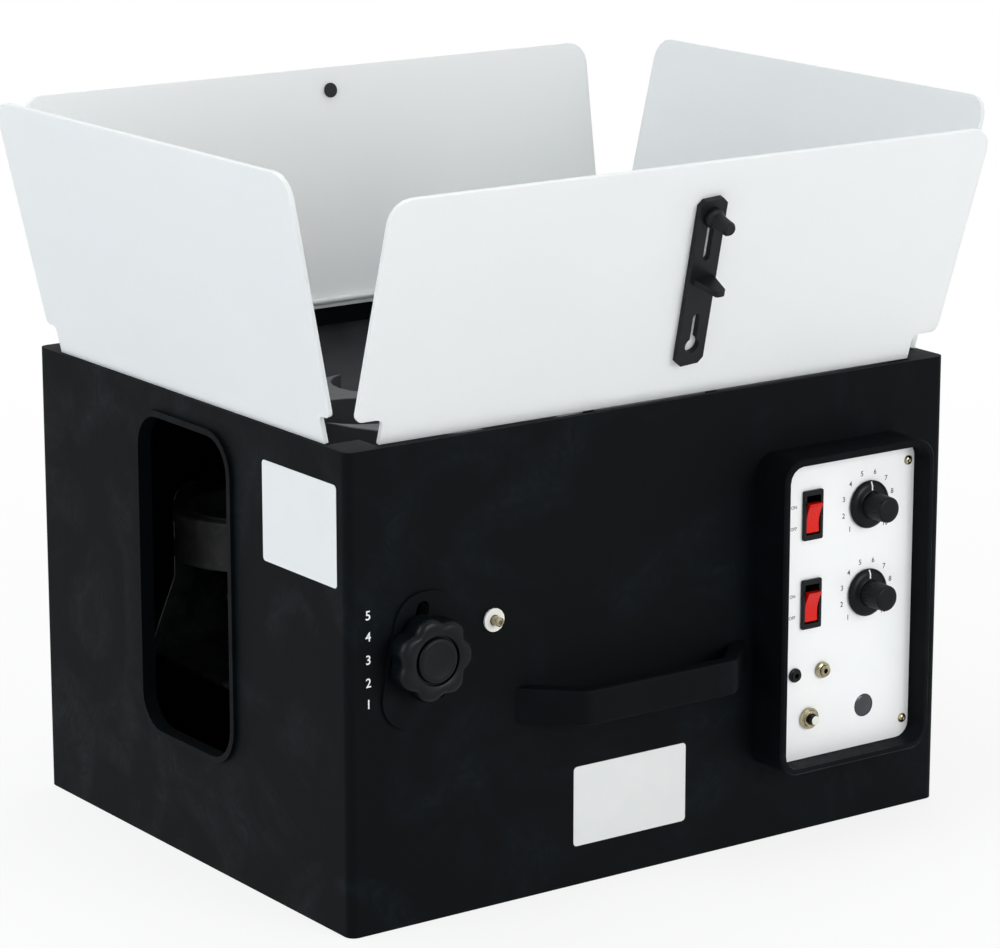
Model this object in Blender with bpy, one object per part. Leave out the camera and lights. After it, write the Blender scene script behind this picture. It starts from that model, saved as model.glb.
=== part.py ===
"""A portable tennis ball machine with a folding hopper.

The moulded housing holds a battery, a tilting and swinging throwing head with two wheels, and a
turning feed disc under a funnel-shaped hopper floor. Four hinged sheets make the hopper, and they
fold flat over the rim. The origin is the middle of the housing's base: +Z is up, the control panel
faces -Y, and the balls leave through the side that faces -X.
"""

from math import asin, atan2, cos, degrees, hypot, pi, radians, sin, tan

import bmesh
import bpy
from mathutils import Matrix, Vector
from mathutils.geometry import convex_hull_2d

MM = 0.001
GAP = 0.3 * MM  # between two pieces that touch

# Housing: a moulded box, open at the top and the bottom
WIDTH = 457 * MM
DEPTH = 361 * MM
RIM_HEIGHT = 296 * MM
CORNER_RADIUS = 6 * MM
WALL = 7 * MM
RIM_WALL = 4.5 * MM  # above the ledge that carries the hopper floor
LEDGE_DROP = 15 * MM  # from the rim down to that ledge
LEDGE_INSET = 10 * MM  # from the outside to the ledge's inner edge
LEDGE_HEAVY = 5 * MM
CORNER_BLOCK = 25.5 * MM  # the side of the solid blocks that stiffen the rim's corners
BOSS_SIDE = 16 * MM  # the corner bosses that the base plate screws into
BOSS_HEIGHT = 40 * MM

# Ball outlet in the left side
OUTLET_WIDTH = 104 * MM
OUTLET_BOTTOM = 75 * MM
OUTLET_TOP = 278 * MM
OUTLET_RADIUS = 22 * MM
OUTLET_BEAD = 4 * MM
OUTLET_BEAD_RISE = 2.5 * MM

# Carrying handle on the front
HANDLE_FROM_LEFT = 208 * MM  # to its middle
HANDLE_BOTTOM = 112 * MM
HANDLE_HEIGHT = 23 * MM
HANDLE_FOOT_LENGTH = 178 * MM
HANDLE_GRIP_LENGTH = 114 * MM
HANDLE_REACH = 31.5 * MM
HANDLE_BAR = 10 * MM
HANDLE_EDGE = 3 * MM

# Frame around the control plate, which stands out of the front
FRAME_FROM_RIGHT = 33 * MM
FRAME_WIDTH = 121.5 * MM
FRAME_BOTTOM = 49.5 * MM
FRAME_HEIGHT = 203.5 * MM
FRAME_REACH = 30 * MM
FRAME_RADIUS = 14 * MM
FRAME_WALL = 4 * MM
FRAME_EDGE = 1.2 * MM
PLATE_RECESS = 15 * MM  # from the frame's front edge to the control plate
PLATE_THICKNESS = 2 * MM
PLATE_LEDGE = 9 * MM
LEDGE_THICKNESS = 4 * MM

# Elevation: pivot, scale arc and knob
PIVOT_FROM_LEFT = 103.2 * MM
PIVOT_HEIGHT = 180 * MM
TILT_LIMIT = radians(30)
KNOB_ARM = 54 * MM  # from the pivot to the knob's stud
KNOB_ANGLE = radians(-12.8)
STUD_RADIUS = 4 * MM
SLOT_CLEARANCE = 0.5 * MM
PAD_RISE = 2 * MM
PAD_MARGIN = 20 * MM
PAD_SPREAD = 21 * MM
KNOB_RADIUS = 26 * MM
KNOB_LOBES = 7
KNOB_LOBE_DEPTH = 3 * MM
KNOB_THICKNESS = 17 * MM
KNOB_DISC_RADIUS = 13.5 * MM
PIN_RADIUS = 3 * MM
PIN_REACH = 6.5 * MM
BUSHING_FLANGE_RADIUS = 7.3 * MM
BUSHING_FLANGE = 1.5 * MM
BUSHING_WALL = 2 * MM

# Hopper sheets: heights are up the sheet from its hinge
SHEET = 3 * MM
SHEET_OUT = 3 * MM  # from the hinge's axis out to the sheet
END_FOLD_GAP = 28.2 * MM  # between the edges of the front and back sheets when they are folded
SIDE_PANEL_HEIGHT = 165.6 * MM  # the left and right sheets
END_SHOULDER = 13 * MM  # up to where a sheet widens above the rim's corners
SIDE_SHOULDER = 17 * MM
END_FLARE = 2.7 * MM  # how much wider each half is at the top than at the shoulder
SIDE_FLARE = 5.5 * MM
PANEL_RADIUS = 14 * MM
NOTCH_RADIUS = 5 * MM
FRONT_LEAN = radians(18)
BACK_LEAN = radians(10)
LEFT_LEAN = radians(12)
RIGHT_LEAN = radians(15)
END_HINGE_INSET = 10.7 * MM
SIDE_HINGE_INSET = 8 * MM
BEAD_RADIUS = 2.1 * MM
ROD_RADIUS = 1 * MM
ROD_CLEARANCE = 0.25 * MM
LUG_RADIUS = 2.5 * MM
LUG_WIDTH = 6 * MM
LUG_DEPTH = 9 * MM  # from the rim down to a lug's foot
LUG_STEP = 1 * MM  # from the rim down to where a lug meets the wall
LUG_MARGIN = 5 * MM  # from the lugs of an end hinge to the folded side sheets
LUG_INSET = 8 * MM  # from a side sheet's lower corner to its lug
TAB_MARGIN = 1 * MM
FOLD_CLEARANCE = 0.7 * MM  # at the edges of a sheet that folds down between two others
SIDE_CLEARANCE = 2.2 * MM
STACK_GAP = 0.5 * MM  # between the folded sheets

# Latch strap on the front sheet, and the stud on the back sheet that it hooks over
LATCH_OFFSET = 8.5 * MM
STRAP_SWING = radians(4.5)  # how far the strap hangs askew, its foot to the right
LATCH_BELOW_EDGE = 34.2 * MM  # from the front sheet's upper edge down to the knob
STRAP_WIDTH = 20 * MM
STRAP_THICKNESS = 4 * MM
STRAP_ABOVE = 11.5 * MM
STRAP_BELOW = 101.5 * MM
STRAP_CHAMFER = 3.5 * MM
NECK_RADIUS = 2.2 * MM
NECK_CLEARANCE = 0.3 * MM
LATCH_TRAVEL = 27 * MM
KEYHOLE_REACH = 88 * MM
KEYHOLE_RADIUS = 5.3 * MM
KEYHOLE_LENGTH = 22 * MM
HEAD_RADIUS = 4.6 * MM
THUMB_KNOB_RADIUS = 6.5 * MM
THUMB_KNOB_LENGTH = 18 * MM
TAB_DROP = 42.5 * MM  # from the stud down to the finger tab
TAB_REACH = 19 * MM
TAB_THICKNESS = 4 * MM
CATCH_REACH = 78 * MM
RIVET_RADIUS = 5 * MM
RIVET_THICKNESS = 1.2 * MM

# Hopper floor and feed disc
FLOOR_THICKNESS = 3 * MM
FLOOR_FLANGE = 6 * MM
WELL_FROM_PIVOT = 88 * MM
WELL_RADIUS = 100 * MM
WELL_DEPTH = 15 * MM
WELL_FLOOR = 239 * MM
DROP_RADIUS = 37 * MM  # ball hole and pockets
POCKET_PITCH = 62 * MM
POCKETS = 4
ROTOR_CLEARANCE = 2.5 * MM
ROTOR_THICKNESS = 30 * MM
ROTOR_HUB_RADIUS = 20 * MM
ROTOR_HUB_RISE = 12 * MM
FEED_SHAFT_RADIUS = 4 * MM
FEED_BOX_LENGTH = 60 * MM
FEED_BOX_WIDTH = 40 * MM
FEED_BOX_HEIGHT = 23 * MM
FEED_CAN_RADIUS = 13 * MM
FEED_CAN_LENGTH = 22 * MM

# Throwing head
WHEEL_RADIUS = 55 * MM
WHEEL_WIDTH = 32 * MM
WHEEL_SPACING = 168 * MM
TYRE_THICKNESS = 9 * MM
TREAD_HOLLOW = 2 * MM
HEAD_PLATE_DROP = 44 * MM  # from the pivot down to the head plate's underside
HEAD_PLATE = 3 * MM
HEAD_PLATE_WIDTH = 48 * MM
HEAD_TONGUE = 68 * MM
YAW_LIMIT = radians(10)
GUIDE_RADIUS = 35 * MM
GUIDE_WALL = 2 * MM
GUIDE_REACH = 40 * MM
GUIDE_ANGLE = radians(40)
MOTOR_RADIUS = 18 * MM
MOTOR_LENGTH = 48 * MM
MOTOR_SHAFT_RADIUS = 2.5 * MM
POST_RADIUS = 10 * MM
SPINDLE_RADIUS = 5.7 * MM

# Tilting cradle that carries the head
CRADLE_SHEET = 3 * MM
CRADLE_SIDE_GAP = 5.5 * MM
CRADLE_DROP = 96 * MM
CRADLE_AHEAD = 35 * MM
CRADLE_BEHIND = 75 * MM
CRADLE_ARM_WIDTH = 28 * MM

# Oscillator on the cradle
OSCILLATOR_ARM = 54 * MM
OSCILLATOR_SIDE = 52 * MM
OSCILLATOR_MOTOR_RADIUS = 15 * MM
CRANK_THICKNESS = 4 * MM
LINK_THICKNESS = 3 * MM
LINK_PIN_RADIUS = 2.5 * MM
OPEN_PIVOT_GAP = 0.5 * MM

# Controls: places from the plate's middle (right, up)
SWITCH_COLUMN = -27.3 * MM
DIAL_COLUMN = 18.7 * MM
UPPER_ROW = 61.5 * MM
LOWER_ROW = 4 * MM
BEZEL_WIDTH = 15.5 * MM
BEZEL_HEIGHT = 32 * MM
BEZEL_THICKNESS = 2 * MM
ROCKER_WIDTH = 10.4 * MM
ROCKER_LENGTH = 20 * MM
ROCKER_ANGLE = radians(12)
SWITCH_DEPTH = 22 * MM
SKIRT_RADIUS = 15.4 * MM
SKIRT_THICKNESS = 3.2 * MM
GRIP_RADIUS = 8.6 * MM
DIAL_HEIGHT = 21 * MM
POT_RADIUS = 8 * MM
POT_DEPTH = 9 * MM
JACK_HEIGHT_BELOW = 41 * MM
BLACK_JACK = -39 * MM
METAL_JACK = -17 * MM
LOWEST_ROW = 71 * MM
SENSOR_RADIUS = 7.3 * MM
BREAKER_RADIUS = 6.8 * MM
BUTTON_RADIUS = 3.3 * MM
BUTTON_REACH = 8 * MM
BUTTON_TRAVEL = 2.5 * MM

# Base, battery
BASE_THICKNESS = 4 * MM
BATTERY_LENGTH = 151 * MM
BATTERY_WIDTH = 98 * MM
BATTERY_HEIGHT = 95 * MM
BATTERY_FROM_RIGHT = 38 * MM
BATTERY_OFFSET = 20 * MM
STRAP_BAND = 20 * MM
BAND_THICKNESS = 1.5 * MM
BOARD_THICKNESS = 1.6 * MM
BOARD_MARGIN = 18 * MM  # to each side of the potentiometers
BOARD_OVERHANG = 20 * MM  # above and below their shafts
BREAKER_DEPTH = 18 * MM

# Places that follow from the sizes above
LEFT, RIGHT = -WIDTH / 2, WIDTH / 2
FRONT, BACK = -DEPTH / 2, DEPTH / 2
LEDGE_HEIGHT = RIM_HEIGHT - LEDGE_DROP
PIVOT_X = LEFT + PIVOT_FROM_LEFT
WELL_X = PIVOT_X + WELL_FROM_PIVOT
SIDE_HINGE_HEIGHT = RIM_HEIGHT + GAP + BEAD_RADIUS
END_HINGE_HEIGHT = SIDE_HINGE_HEIGHT + SHEET + STACK_GAP
END_HINGE = DEPTH / 2 - END_HINGE_INSET
SIDE_HINGE = WIDTH / 2 - SIDE_HINGE_INSET
END_LUGS = SIDE_HINGE - SIDE_PANEL_HEIGHT - LUG_MARGIN  # from the middle to a lug's outer face
SIDE_LUGS = DEPTH / 2 - CORNER_BLOCK - TAB_MARGIN - LUG_INSET
END_PANEL_HEIGHT = END_HINGE - END_FOLD_GAP / 2  # of the front and back sheets
LATCH_HEIGHT = END_PANEL_HEIGHT - LATCH_BELOW_EDGE
PLATE_FRONT = FRONT - FRAME_REACH + PLATE_RECESS
PLATE_BACK = PLATE_FRONT + PLATE_THICKNESS
PLATE_X = RIGHT - FRAME_FROM_RIGHT - FRAME_WIDTH / 2
PLATE_Z = FRAME_BOTTOM + FRAME_HEIGHT / 2
HEAD_PLATE_TOP = PIVOT_HEIGHT - HEAD_PLATE_DROP + HEAD_PLATE
HEAD_PLATE_UNDER = PIVOT_HEIGHT - HEAD_PLATE_DROP
CRADLE_FLOOR = PIVOT_HEIGHT - CRADLE_DROP
CRADLE_SIDE = DEPTH / 2 - WALL - CRADLE_SIDE_GAP

OUTWARD = Vector((0, -1, 0))  # out of the front
UP = Vector((0, 0, 1))


def clear_scene():
    for obj in list(bpy.data.objects):
        bpy.data.objects.remove(obj, do_unlink=True)


def finish(name, colour, roughness, metallic=0.0):
    material = bpy.data.materials.new(name)
    material.use_nodes = True
    shader = material.node_tree.nodes["Principled BSDF"]
    shader.inputs["Base Color"].default_value = (*colour, 1.0)
    shader.inputs["Roughness"].default_value = roughness
    shader.inputs["Metallic"].default_value = metallic
    return material


def add_object(name, shape):
    mesh = bpy.data.meshes.new(name)
    shape.to_mesh(mesh)
    shape.free()
    obj = bpy.data.objects.new(name, mesh)
    bpy.context.scene.collection.objects.link(obj)
    return obj


def piece(name, shape, look, pivot=(0, 0, 0), joins=(), cuts=(), parent=None):
    """One solid. The shapes are in the parent's space, and the object's origin goes to the pivot."""
    shift = -Vector(pivot)
    bmesh.ops.translate(shape, vec=shift, verts=shape.verts)
    obj = add_object(name, shape)
    obj.location = pivot
    obj.parent = parent
    obj.data.materials.append(look)
    steps = [("UNION", tool) for tool in joins] + [("DIFFERENCE", tool) for tool in cuts]
    for number, (operation, tool) in enumerate(steps):
        bmesh.ops.translate(tool, vec=shift, verts=tool.verts)
        helper = add_object(f"{name}_tool_{number}", tool)
        helper.hide_render = True
        helper.display_type = "WIRE"
        helper.parent = obj
        modifier = obj.modifiers.new(helper.name, "BOOLEAN")
        modifier.operation = operation
        modifier.solver = "EXACT"
        modifier.object = helper
    obj.data.shade_smooth()
    obj.data.set_sharp_from_angle(angle=radians(35))
    return obj


def pivot_empty(name, place, turn=(0, 0, 0)):
    empty = bpy.data.objects.new(name, None)
    empty.location = place
    empty.rotation_euler = turn
    bpy.context.scene.collection.objects.link(empty)
    return empty


def arc(middle, radius, start, end, steps):
    """Points from start to end, both included, as angles in radians."""
    angles = [start + (end - start) * step / steps for step in range(steps + 1)]
    return [(middle[0] + radius * cos(a), middle[1] + radius * sin(a)) for a in angles]


def circle(middle, radius, sides):
    return arc(middle, radius, 0, 2 * pi, sides)[:-1]


def rounded(corners, radius, steps=4):
    """A polygon with its corners rounded: one radius for all, or one for each."""
    radii = radius if isinstance(radius, (list, tuple)) else [radius] * len(corners)
    points = []
    for index, (corner, size) in enumerate(zip(corners, radii)):
        here = Vector(corner)
        before = (Vector(corners[index - 1]) - here).normalized()
        after = (Vector(corners[(index + 1) % len(corners)]) - here).normalized()
        half = before.angle(after) / 2
        if size <= 0:
            points.append(tuple(here))
            continue
        middle = here + (before + after).normalized() * size / sin(half)
        first = here + before * size / tan(half) - middle
        last = here + after * size / tan(half) - middle
        start = atan2(first.y, first.x)
        sweep = (atan2(last.y, last.x) - start + pi) % (2 * pi) - pi
        points += arc(middle, size, start, start + sweep, steps)
    return points


def rectangle(middle, width, height, radius=0.0, steps=4):
    right, top = middle[0] + width / 2, middle[1] + height / 2
    left, bottom = middle[0] - width / 2, middle[1] - height / 2
    return rounded([(left, bottom), (right, bottom), (right, top), (left, top)], radius, steps)


def in_plane(plane, u, v, w):
    """A point from two in-plane values and one across: plane xy, xz or yz."""
    return {"xy": (u, v, w), "xz": (u, w, v), "yz": (w, u, v)}[plane]


def slab(plane, outlines, low, high):
    """The outline, less the holes that follow it, extruded across its plane from low to high."""
    shape = bmesh.new()
    for outline in outlines:
        ring = [shape.verts.new(in_plane(plane, u, v, low)) for u, v in outline]
        for first, second in zip(ring, ring[1:] + ring[:1]):
            shape.edges.new((first, second))
    bmesh.ops.triangle_fill(shape, use_beauty=True, edges=shape.edges[:])
    made = bmesh.ops.extrude_face_region(shape, geom=shape.faces[:], use_keep_orig=True)
    moved = [item for item in made["geom"] if isinstance(item, bmesh.types.BMVert)]
    bmesh.ops.translate(shape, vec=in_plane(plane, 0, 0, high - low), verts=moved)
    bmesh.ops.recalc_face_normals(shape, faces=shape.faces)
    return shape


def loft(plane, layers):
    """A solid through outlines of equal length: layers of (outline, place across the plane)."""
    shape = bmesh.new()
    rings = [[shape.verts.new(in_plane(plane, u, v, w)) for u, v in outline] for outline, w in layers]
    for low, high in zip(rings, rings[1:]):
        for index in range(len(low)):
            after = (index + 1) % len(low)
            shape.faces.new((low[index], low[after], high[after], high[index]))
    shape.faces.new(rings[0])
    shape.faces.new(rings[-1])
    bmesh.ops.recalc_face_normals(shape, faces=shape.faces)
    return shape


def block(low, high):
    return slab("xy", [rectangle(((low[0] + high[0]) / 2, (low[1] + high[1]) / 2),
                                 high[0] - low[0], high[1] - low[1])], low[2], high[2])


def turned(profile, sides, base=(0, 0, 0), direction=UP, ring=False):
    """A profile of (radius, height) spun about the direction through the base."""
    shape = bmesh.new()
    points = [shape.verts.new((radius, 0, height)) for radius, height in profile]
    pairs = list(zip(points, points[1:])) + ([(points[-1], points[0])] if ring else [])
    edges = [shape.edges.new(pair) for pair in pairs]
    bmesh.ops.spin(shape, geom=points + edges, cent=(0, 0, 0), axis=UP, angle=2 * pi,
                   steps=sides, use_merge=True)
    bmesh.ops.remove_doubles(shape, verts=shape.verts, dist=1e-6)
    bmesh.ops.recalc_face_normals(shape, faces=shape.faces)
    turn = UP.rotation_difference(Vector(direction)).to_matrix().to_4x4()
    shape.transform(Matrix.Translation(base) @ turn)
    return shape


def cylinder(radius, length, sides, base, direction=UP):
    return turned([(0, 0), (radius, 0), (radius, length), (0, length)], sides, base, direction)


def tube(outer, inner, length, sides, base, direction=UP):
    profile = [(inner, 0), (outer, 0), (outer, length), (inner, length)]
    return turned(profile, sides, base, direction, ring=True)


def on_plate(right, up, out=0.0):
    """A place on the control plate's front, from its middle."""
    return Vector((PLATE_X + right, PLATE_FRONT - out, PLATE_Z + up))


def arm_point(angle):
    """Where the knob's stud is when its arm stands at this angle, as x and z."""
    return PIVOT_X - KNOB_ARM * cos(angle), PIVOT_HEIGHT + KNOB_ARM * sin(angle)



def slot_outline(half_width):
    """The stud's arc about the pivot, from one end of the tilt to the other, with round ends."""
    low, high = KNOB_ANGLE - TILT_LIMIT, KNOB_ANGLE + TILT_LIMIT
    pivot = (PIVOT_X, PIVOT_HEIGHT)
    inner = arc(pivot, KNOB_ARM - half_width, pi - low, pi - high, 10)
    outer = arc(pivot, KNOB_ARM + half_width, pi - high, pi - low, 10)
    top = arc(arm_point(high), half_width, -high, pi - high, 6)[1:-1]
    bottom = arc(arm_point(low), half_width, pi - low, 2 * pi - low, 6)[1:-1]
    return inner + top + outer + bottom


def pad_outline():
    """The pad round the slot: narrow above, broad below, with generous corners."""
    low_x, low_z = arm_point(KNOB_ANGLE - TILT_LIMIT)
    high_x, high_z = arm_point(KNOB_ANGLE + TILT_LIMIT)
    corners = [(low_x, low_z), (low_x - PAD_SPREAD, low_z), (high_x, high_z - PAD_MARGIN / 2),
               (high_x + PAD_SPREAD / 4, high_z - PAD_MARGIN / 2)]
    points = [point for corner in corners for point in circle(corner, PAD_MARGIN, 24)]
    return [points[index] for index in convex_hull_2d(points)]


def handle_outline():
    """The handle seen from above: two sloping feet and a straight grip, as one bar."""
    middle = LEFT + HANDLE_FROM_LEFT
    foot, grip = HANDLE_FOOT_LENGTH / 2, HANDLE_GRIP_LENGTH / 2
    root = FRONT + WALL / 2
    reach = FRONT - HANDLE_REACH
    slope = (foot - grip) / HANDLE_REACH
    spread = HANDLE_BAR * hypot(1, slope)
    inner_grip = grip + HANDLE_BAR * (slope - hypot(1, slope))
    inner_foot = foot - spread + WALL / 2 * slope
    outer = [(middle - foot - WALL / 2 * slope, root), (middle - grip, reach),
             (middle + grip, reach), (middle + foot + WALL / 2 * slope, root)]
    inner = [(middle + inner_foot, root), (middle + inner_grip, reach + HANDLE_BAR),
             (middle - inner_grip, reach + HANDLE_BAR), (middle - inner_foot, root)]
    radii = [0, HANDLE_BAR, HANDLE_BAR, 0, 0, HANDLE_EDGE, HANDLE_EDGE, 0]
    return rounded(outer + inner, radii, 4)


def handle_bar():
    bar = slab("xy", [handle_outline()], HANDLE_BOTTOM, HANDLE_BOTTOM + HANDLE_HEIGHT)
    bmesh.ops.dissolve_limit(bar, angle_limit=radians(1), verts=bar.verts, edges=bar.edges)
    ends = (HANDLE_BOTTOM, HANDLE_BOTTOM + HANDLE_HEIGHT)
    rims = [edge for edge in bar.edges
            if any(all(abs(v.co.z - end) < GAP for v in edge.verts) for end in ends)]
    bmesh.ops.bevel(bar, geom=rims, offset=HANDLE_EDGE, segments=2, profile=0.5,
                    affect="EDGES")
    return bar


def frame_cavities():
    """The recess before the plate, the hole through its ledge, and the space behind the ledge."""
    middle = (PLATE_X, PLATE_Z)
    width, height = FRAME_WIDTH - 2 * FRAME_WALL, FRAME_HEIGHT - 2 * FRAME_WALL
    radius = FRAME_RADIUS - FRAME_WALL
    opening = rectangle(middle, width, height, radius)
    hole = rectangle(middle, width - 2 * PLATE_LEDGE, height - 2 * PLATE_LEDGE, radius)
    seat = PLATE_BACK + GAP
    before = slab("xz", [opening], FRONT - 2 * FRAME_REACH, seat)
    through = slab("xz", [hole], seat - LEDGE_THICKNESS, FRONT + 2 * WALL)
    behind = slab("xz", [opening], seat + LEDGE_THICKNESS, FRONT + 2 * WALL)
    return [before, through, behind]


def corner_signs():
    return [(sx, sy) for sx in (-1, 1) for sy in (-1, 1)]


def lug_outline(half, inset, height, lean):
    """A hinge lug seen along the rod: round at the rod, with a neck that clears the leaning sheet."""
    low = RIM_HEIGHT - LUG_DEPTH
    meet = RIM_HEIGHT - LUG_STEP
    head = arc((inset, height), LUG_RADIUS, pi + lean, 0, 10)
    neck = head[0][0] + (head[0][1] - meet) * tan(lean)
    points = head + [(inset + LUG_RADIUS, low), (RIM_WALL / 2, low), (RIM_WALL / 2, meet), (neck, meet)]
    return [(half - depth, z) for depth, z in points]


def hinge_lugs():
    """Two lugs inside the wall under each sheet, bored for the hinge rod."""
    sides = (("yz", 1, DEPTH / 2, END_HINGE_INSET, END_HINGE_HEIGHT, BACK_LEAN, END_LUGS),
             ("yz", -1, DEPTH / 2, END_HINGE_INSET, END_HINGE_HEIGHT, FRONT_LEAN, END_LUGS),
             ("xz", 1, WIDTH / 2, SIDE_HINGE_INSET, SIDE_HINGE_HEIGHT, RIGHT_LEAN, SIDE_LUGS),
             ("xz", -1, WIDTH / 2, SIDE_HINGE_INSET, SIDE_HINGE_HEIGHT, LEFT_LEAN, SIDE_LUGS))
    lugs = []
    for plane, side, half, inset, height, lean, reach in sides:
        outline = [(side * u, v) for u, v in lug_outline(half, inset, height, lean)]
        bore = circle((side * (half - inset), height), ROD_RADIUS + ROD_CLEARANCE, 12)
        lugs += [slab(plane, [outline, bore], end, end + LUG_WIDTH)
                 for end in (-reach, reach - LUG_WIDTH)]
    return lugs


def housing(black):
    outer = rectangle((0, 0), WIDTH, DEPTH, CORNER_RADIUS)
    low_room = rectangle((0, 0), WIDTH - 2 * WALL, DEPTH - 2 * WALL, CORNER_RADIUS / 2, 3)
    room_x, room_y = WIDTH / 2 - RIM_WALL, DEPTH / 2 - RIM_WALL
    post_x, post_y = WIDTH / 2 - CORNER_BLOCK, DEPTH / 2 - CORNER_BLOCK
    cross = [(-post_x, -room_y), (post_x, -room_y), (post_x, -post_y), (room_x, -post_y),
             (room_x, post_y), (post_x, post_y), (post_x, room_y), (-post_x, room_y),
             (-post_x, post_y), (-room_x, post_y), (-room_x, -post_y), (-post_x, -post_y)]
    upper_room = slab("xy", [cross], LEDGE_HEIGHT, RIM_HEIGHT + WALL)
    lower_room = slab("xy", [low_room], -WALL, LEDGE_HEIGHT - LEDGE_HEAVY)
    throat = rectangle((0, 0), WIDTH - 2 * LEDGE_INSET, DEPTH - 2 * LEDGE_INSET)
    middle_room = slab("xy", [throat], BOSS_HEIGHT, LEDGE_HEIGHT + 1 * MM)
    outlet = rectangle((0, (OUTLET_BOTTOM + OUTLET_TOP) / 2), OUTLET_WIDTH,
                       OUTLET_TOP - OUTLET_BOTTOM, OUTLET_RADIUS, 6)
    bead = rectangle((0, (OUTLET_BOTTOM + OUTLET_TOP) / 2), OUTLET_WIDTH + 2 * OUTLET_BEAD,
                     OUTLET_TOP - OUTLET_BOTTOM + 2 * OUTLET_BEAD, OUTLET_RADIUS + OUTLET_BEAD, 6)
    frame_middle = (PLATE_X, PLATE_Z)
    frame = rectangle(frame_middle, FRAME_WIDTH, FRAME_HEIGHT, FRAME_RADIUS, 5)
    frame_lip = rectangle(frame_middle, FRAME_WIDTH - 2 * FRAME_EDGE, FRAME_HEIGHT - 2 * FRAME_EDGE,
                          FRAME_RADIUS - FRAME_EDGE, 5)
    lip = FRONT - FRAME_REACH
    joins = [
        loft("yz", [(bead, LEFT + WALL / 2), (bead, LEFT - OUTLET_BEAD_RISE)]),
        loft("xz", [(frame, FRONT + WALL / 2), (frame, lip + FRAME_EDGE), (frame_lip, lip)]),
        slab("xz", [pad_outline()], FRONT - PAD_RISE, FRONT + WALL / 2),
        handle_bar(),
    ]
    cuts = [upper_room, lower_room, middle_room]
    cuts.append(slab("yz", [outlet], LEFT - WALL, LEFT + 2 * WALL))
    cuts += frame_cavities()
    slot = slot_outline(STUD_RADIUS + SLOT_CLEARANCE)
    cuts.append(slab("xz", [slot], FRONT - WALL, FRONT + 2 * WALL))
    pivot_hole = PIN_RADIUS + BUSHING_WALL + 2 * GAP
    for side, inward in ((FRONT, 1), (BACK, -1)):
        base = (PIVOT_X, side - inward * WALL, PIVOT_HEIGHT)
        cuts.append(cylinder(pivot_hole, 3 * WALL, 16, base, (0, inward, 0)))
    shell = slab("xy", [outer], 0, RIM_HEIGHT)
    body = piece("housing", shell, black, joins=joins, cuts=cuts)
    for number, shape in enumerate(screw_bosses() + hinge_lugs()):
        helper = add_object(f"housing_inside_{number}", shape)
        helper.hide_render = True
        helper.display_type = "WIRE"
        helper.parent = body
        modifier = body.modifiers.new(helper.name, "BOOLEAN")
        modifier.operation = "UNION"
        modifier.solver = "EXACT"
        modifier.object = helper


def screw_bosses():
    """Four bosses inside the lower corners, which the base plate's screws bite into."""
    overlap = WALL / 2
    bosses = []
    for sx, sy in corner_signs():
        outer_x, outer_y = sx * (WIDTH / 2 - overlap), sy * (DEPTH / 2 - overlap)
        inner_x, inner_y = outer_x - sx * BOSS_SIDE, outer_y - sy * BOSS_SIDE
        low = (min(outer_x, inner_x), min(outer_y, inner_y), BASE_THICKNESS + GAP)
        high = (max(outer_x, inner_x), max(outer_y, inner_y), BOSS_HEIGHT)
        bosses.append(block(low, high))
    return bosses


def base_plate(grey):
    clearance = WALL + GAP
    outline = rectangle((0, 0), WIDTH - 2 * clearance, DEPTH - 2 * clearance, CORNER_RADIUS / 2, 3)
    vents = []
    pitch = 12 * MM
    for row in (-1, 1):
        for number in range(6):
            middle = (LEFT / 2 + number * pitch, row * DEPTH / 4)
            vents.append(rectangle(middle, pitch / 2, 4 * pitch, pitch / 5, 1))
    piece("base_plate", slab("xy", [outline] + vents, 0, BASE_THICKNESS), grey)



def floor_edge(inset):
    """The hopper floor's outer edge, notched round the corner blocks, with points on its runs."""
    x, y = WIDTH / 2 - RIM_WALL - GAP - inset, DEPTH / 2 - RIM_WALL - GAP - inset
    post_x, post_y = (size / 2 - CORNER_BLOCK - GAP - inset for size in (WIDTH, DEPTH))
    points = []
    for sx, sy, flip in ((1, -1, False), (1, 1, True), (-1, 1, False), (-1, -1, True)):
        corner = [(sx * post_x, sy * y), (sx * post_x, sy * post_y), (sx * x, sy * post_y)]
        points += reversed(corner) if flip else corner
    runs = []
    for index, (start, end) in enumerate(zip(points, points[1:] + points[:1])):
        runs.append(start)
        if index % 3 == 2:
            steps = 10
            runs += [(start[0] + (end[0] - start[0]) * s / steps,
                      start[1] + (end[1] - start[1]) * s / steps) for s in range(1, steps)]
    return runs


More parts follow.
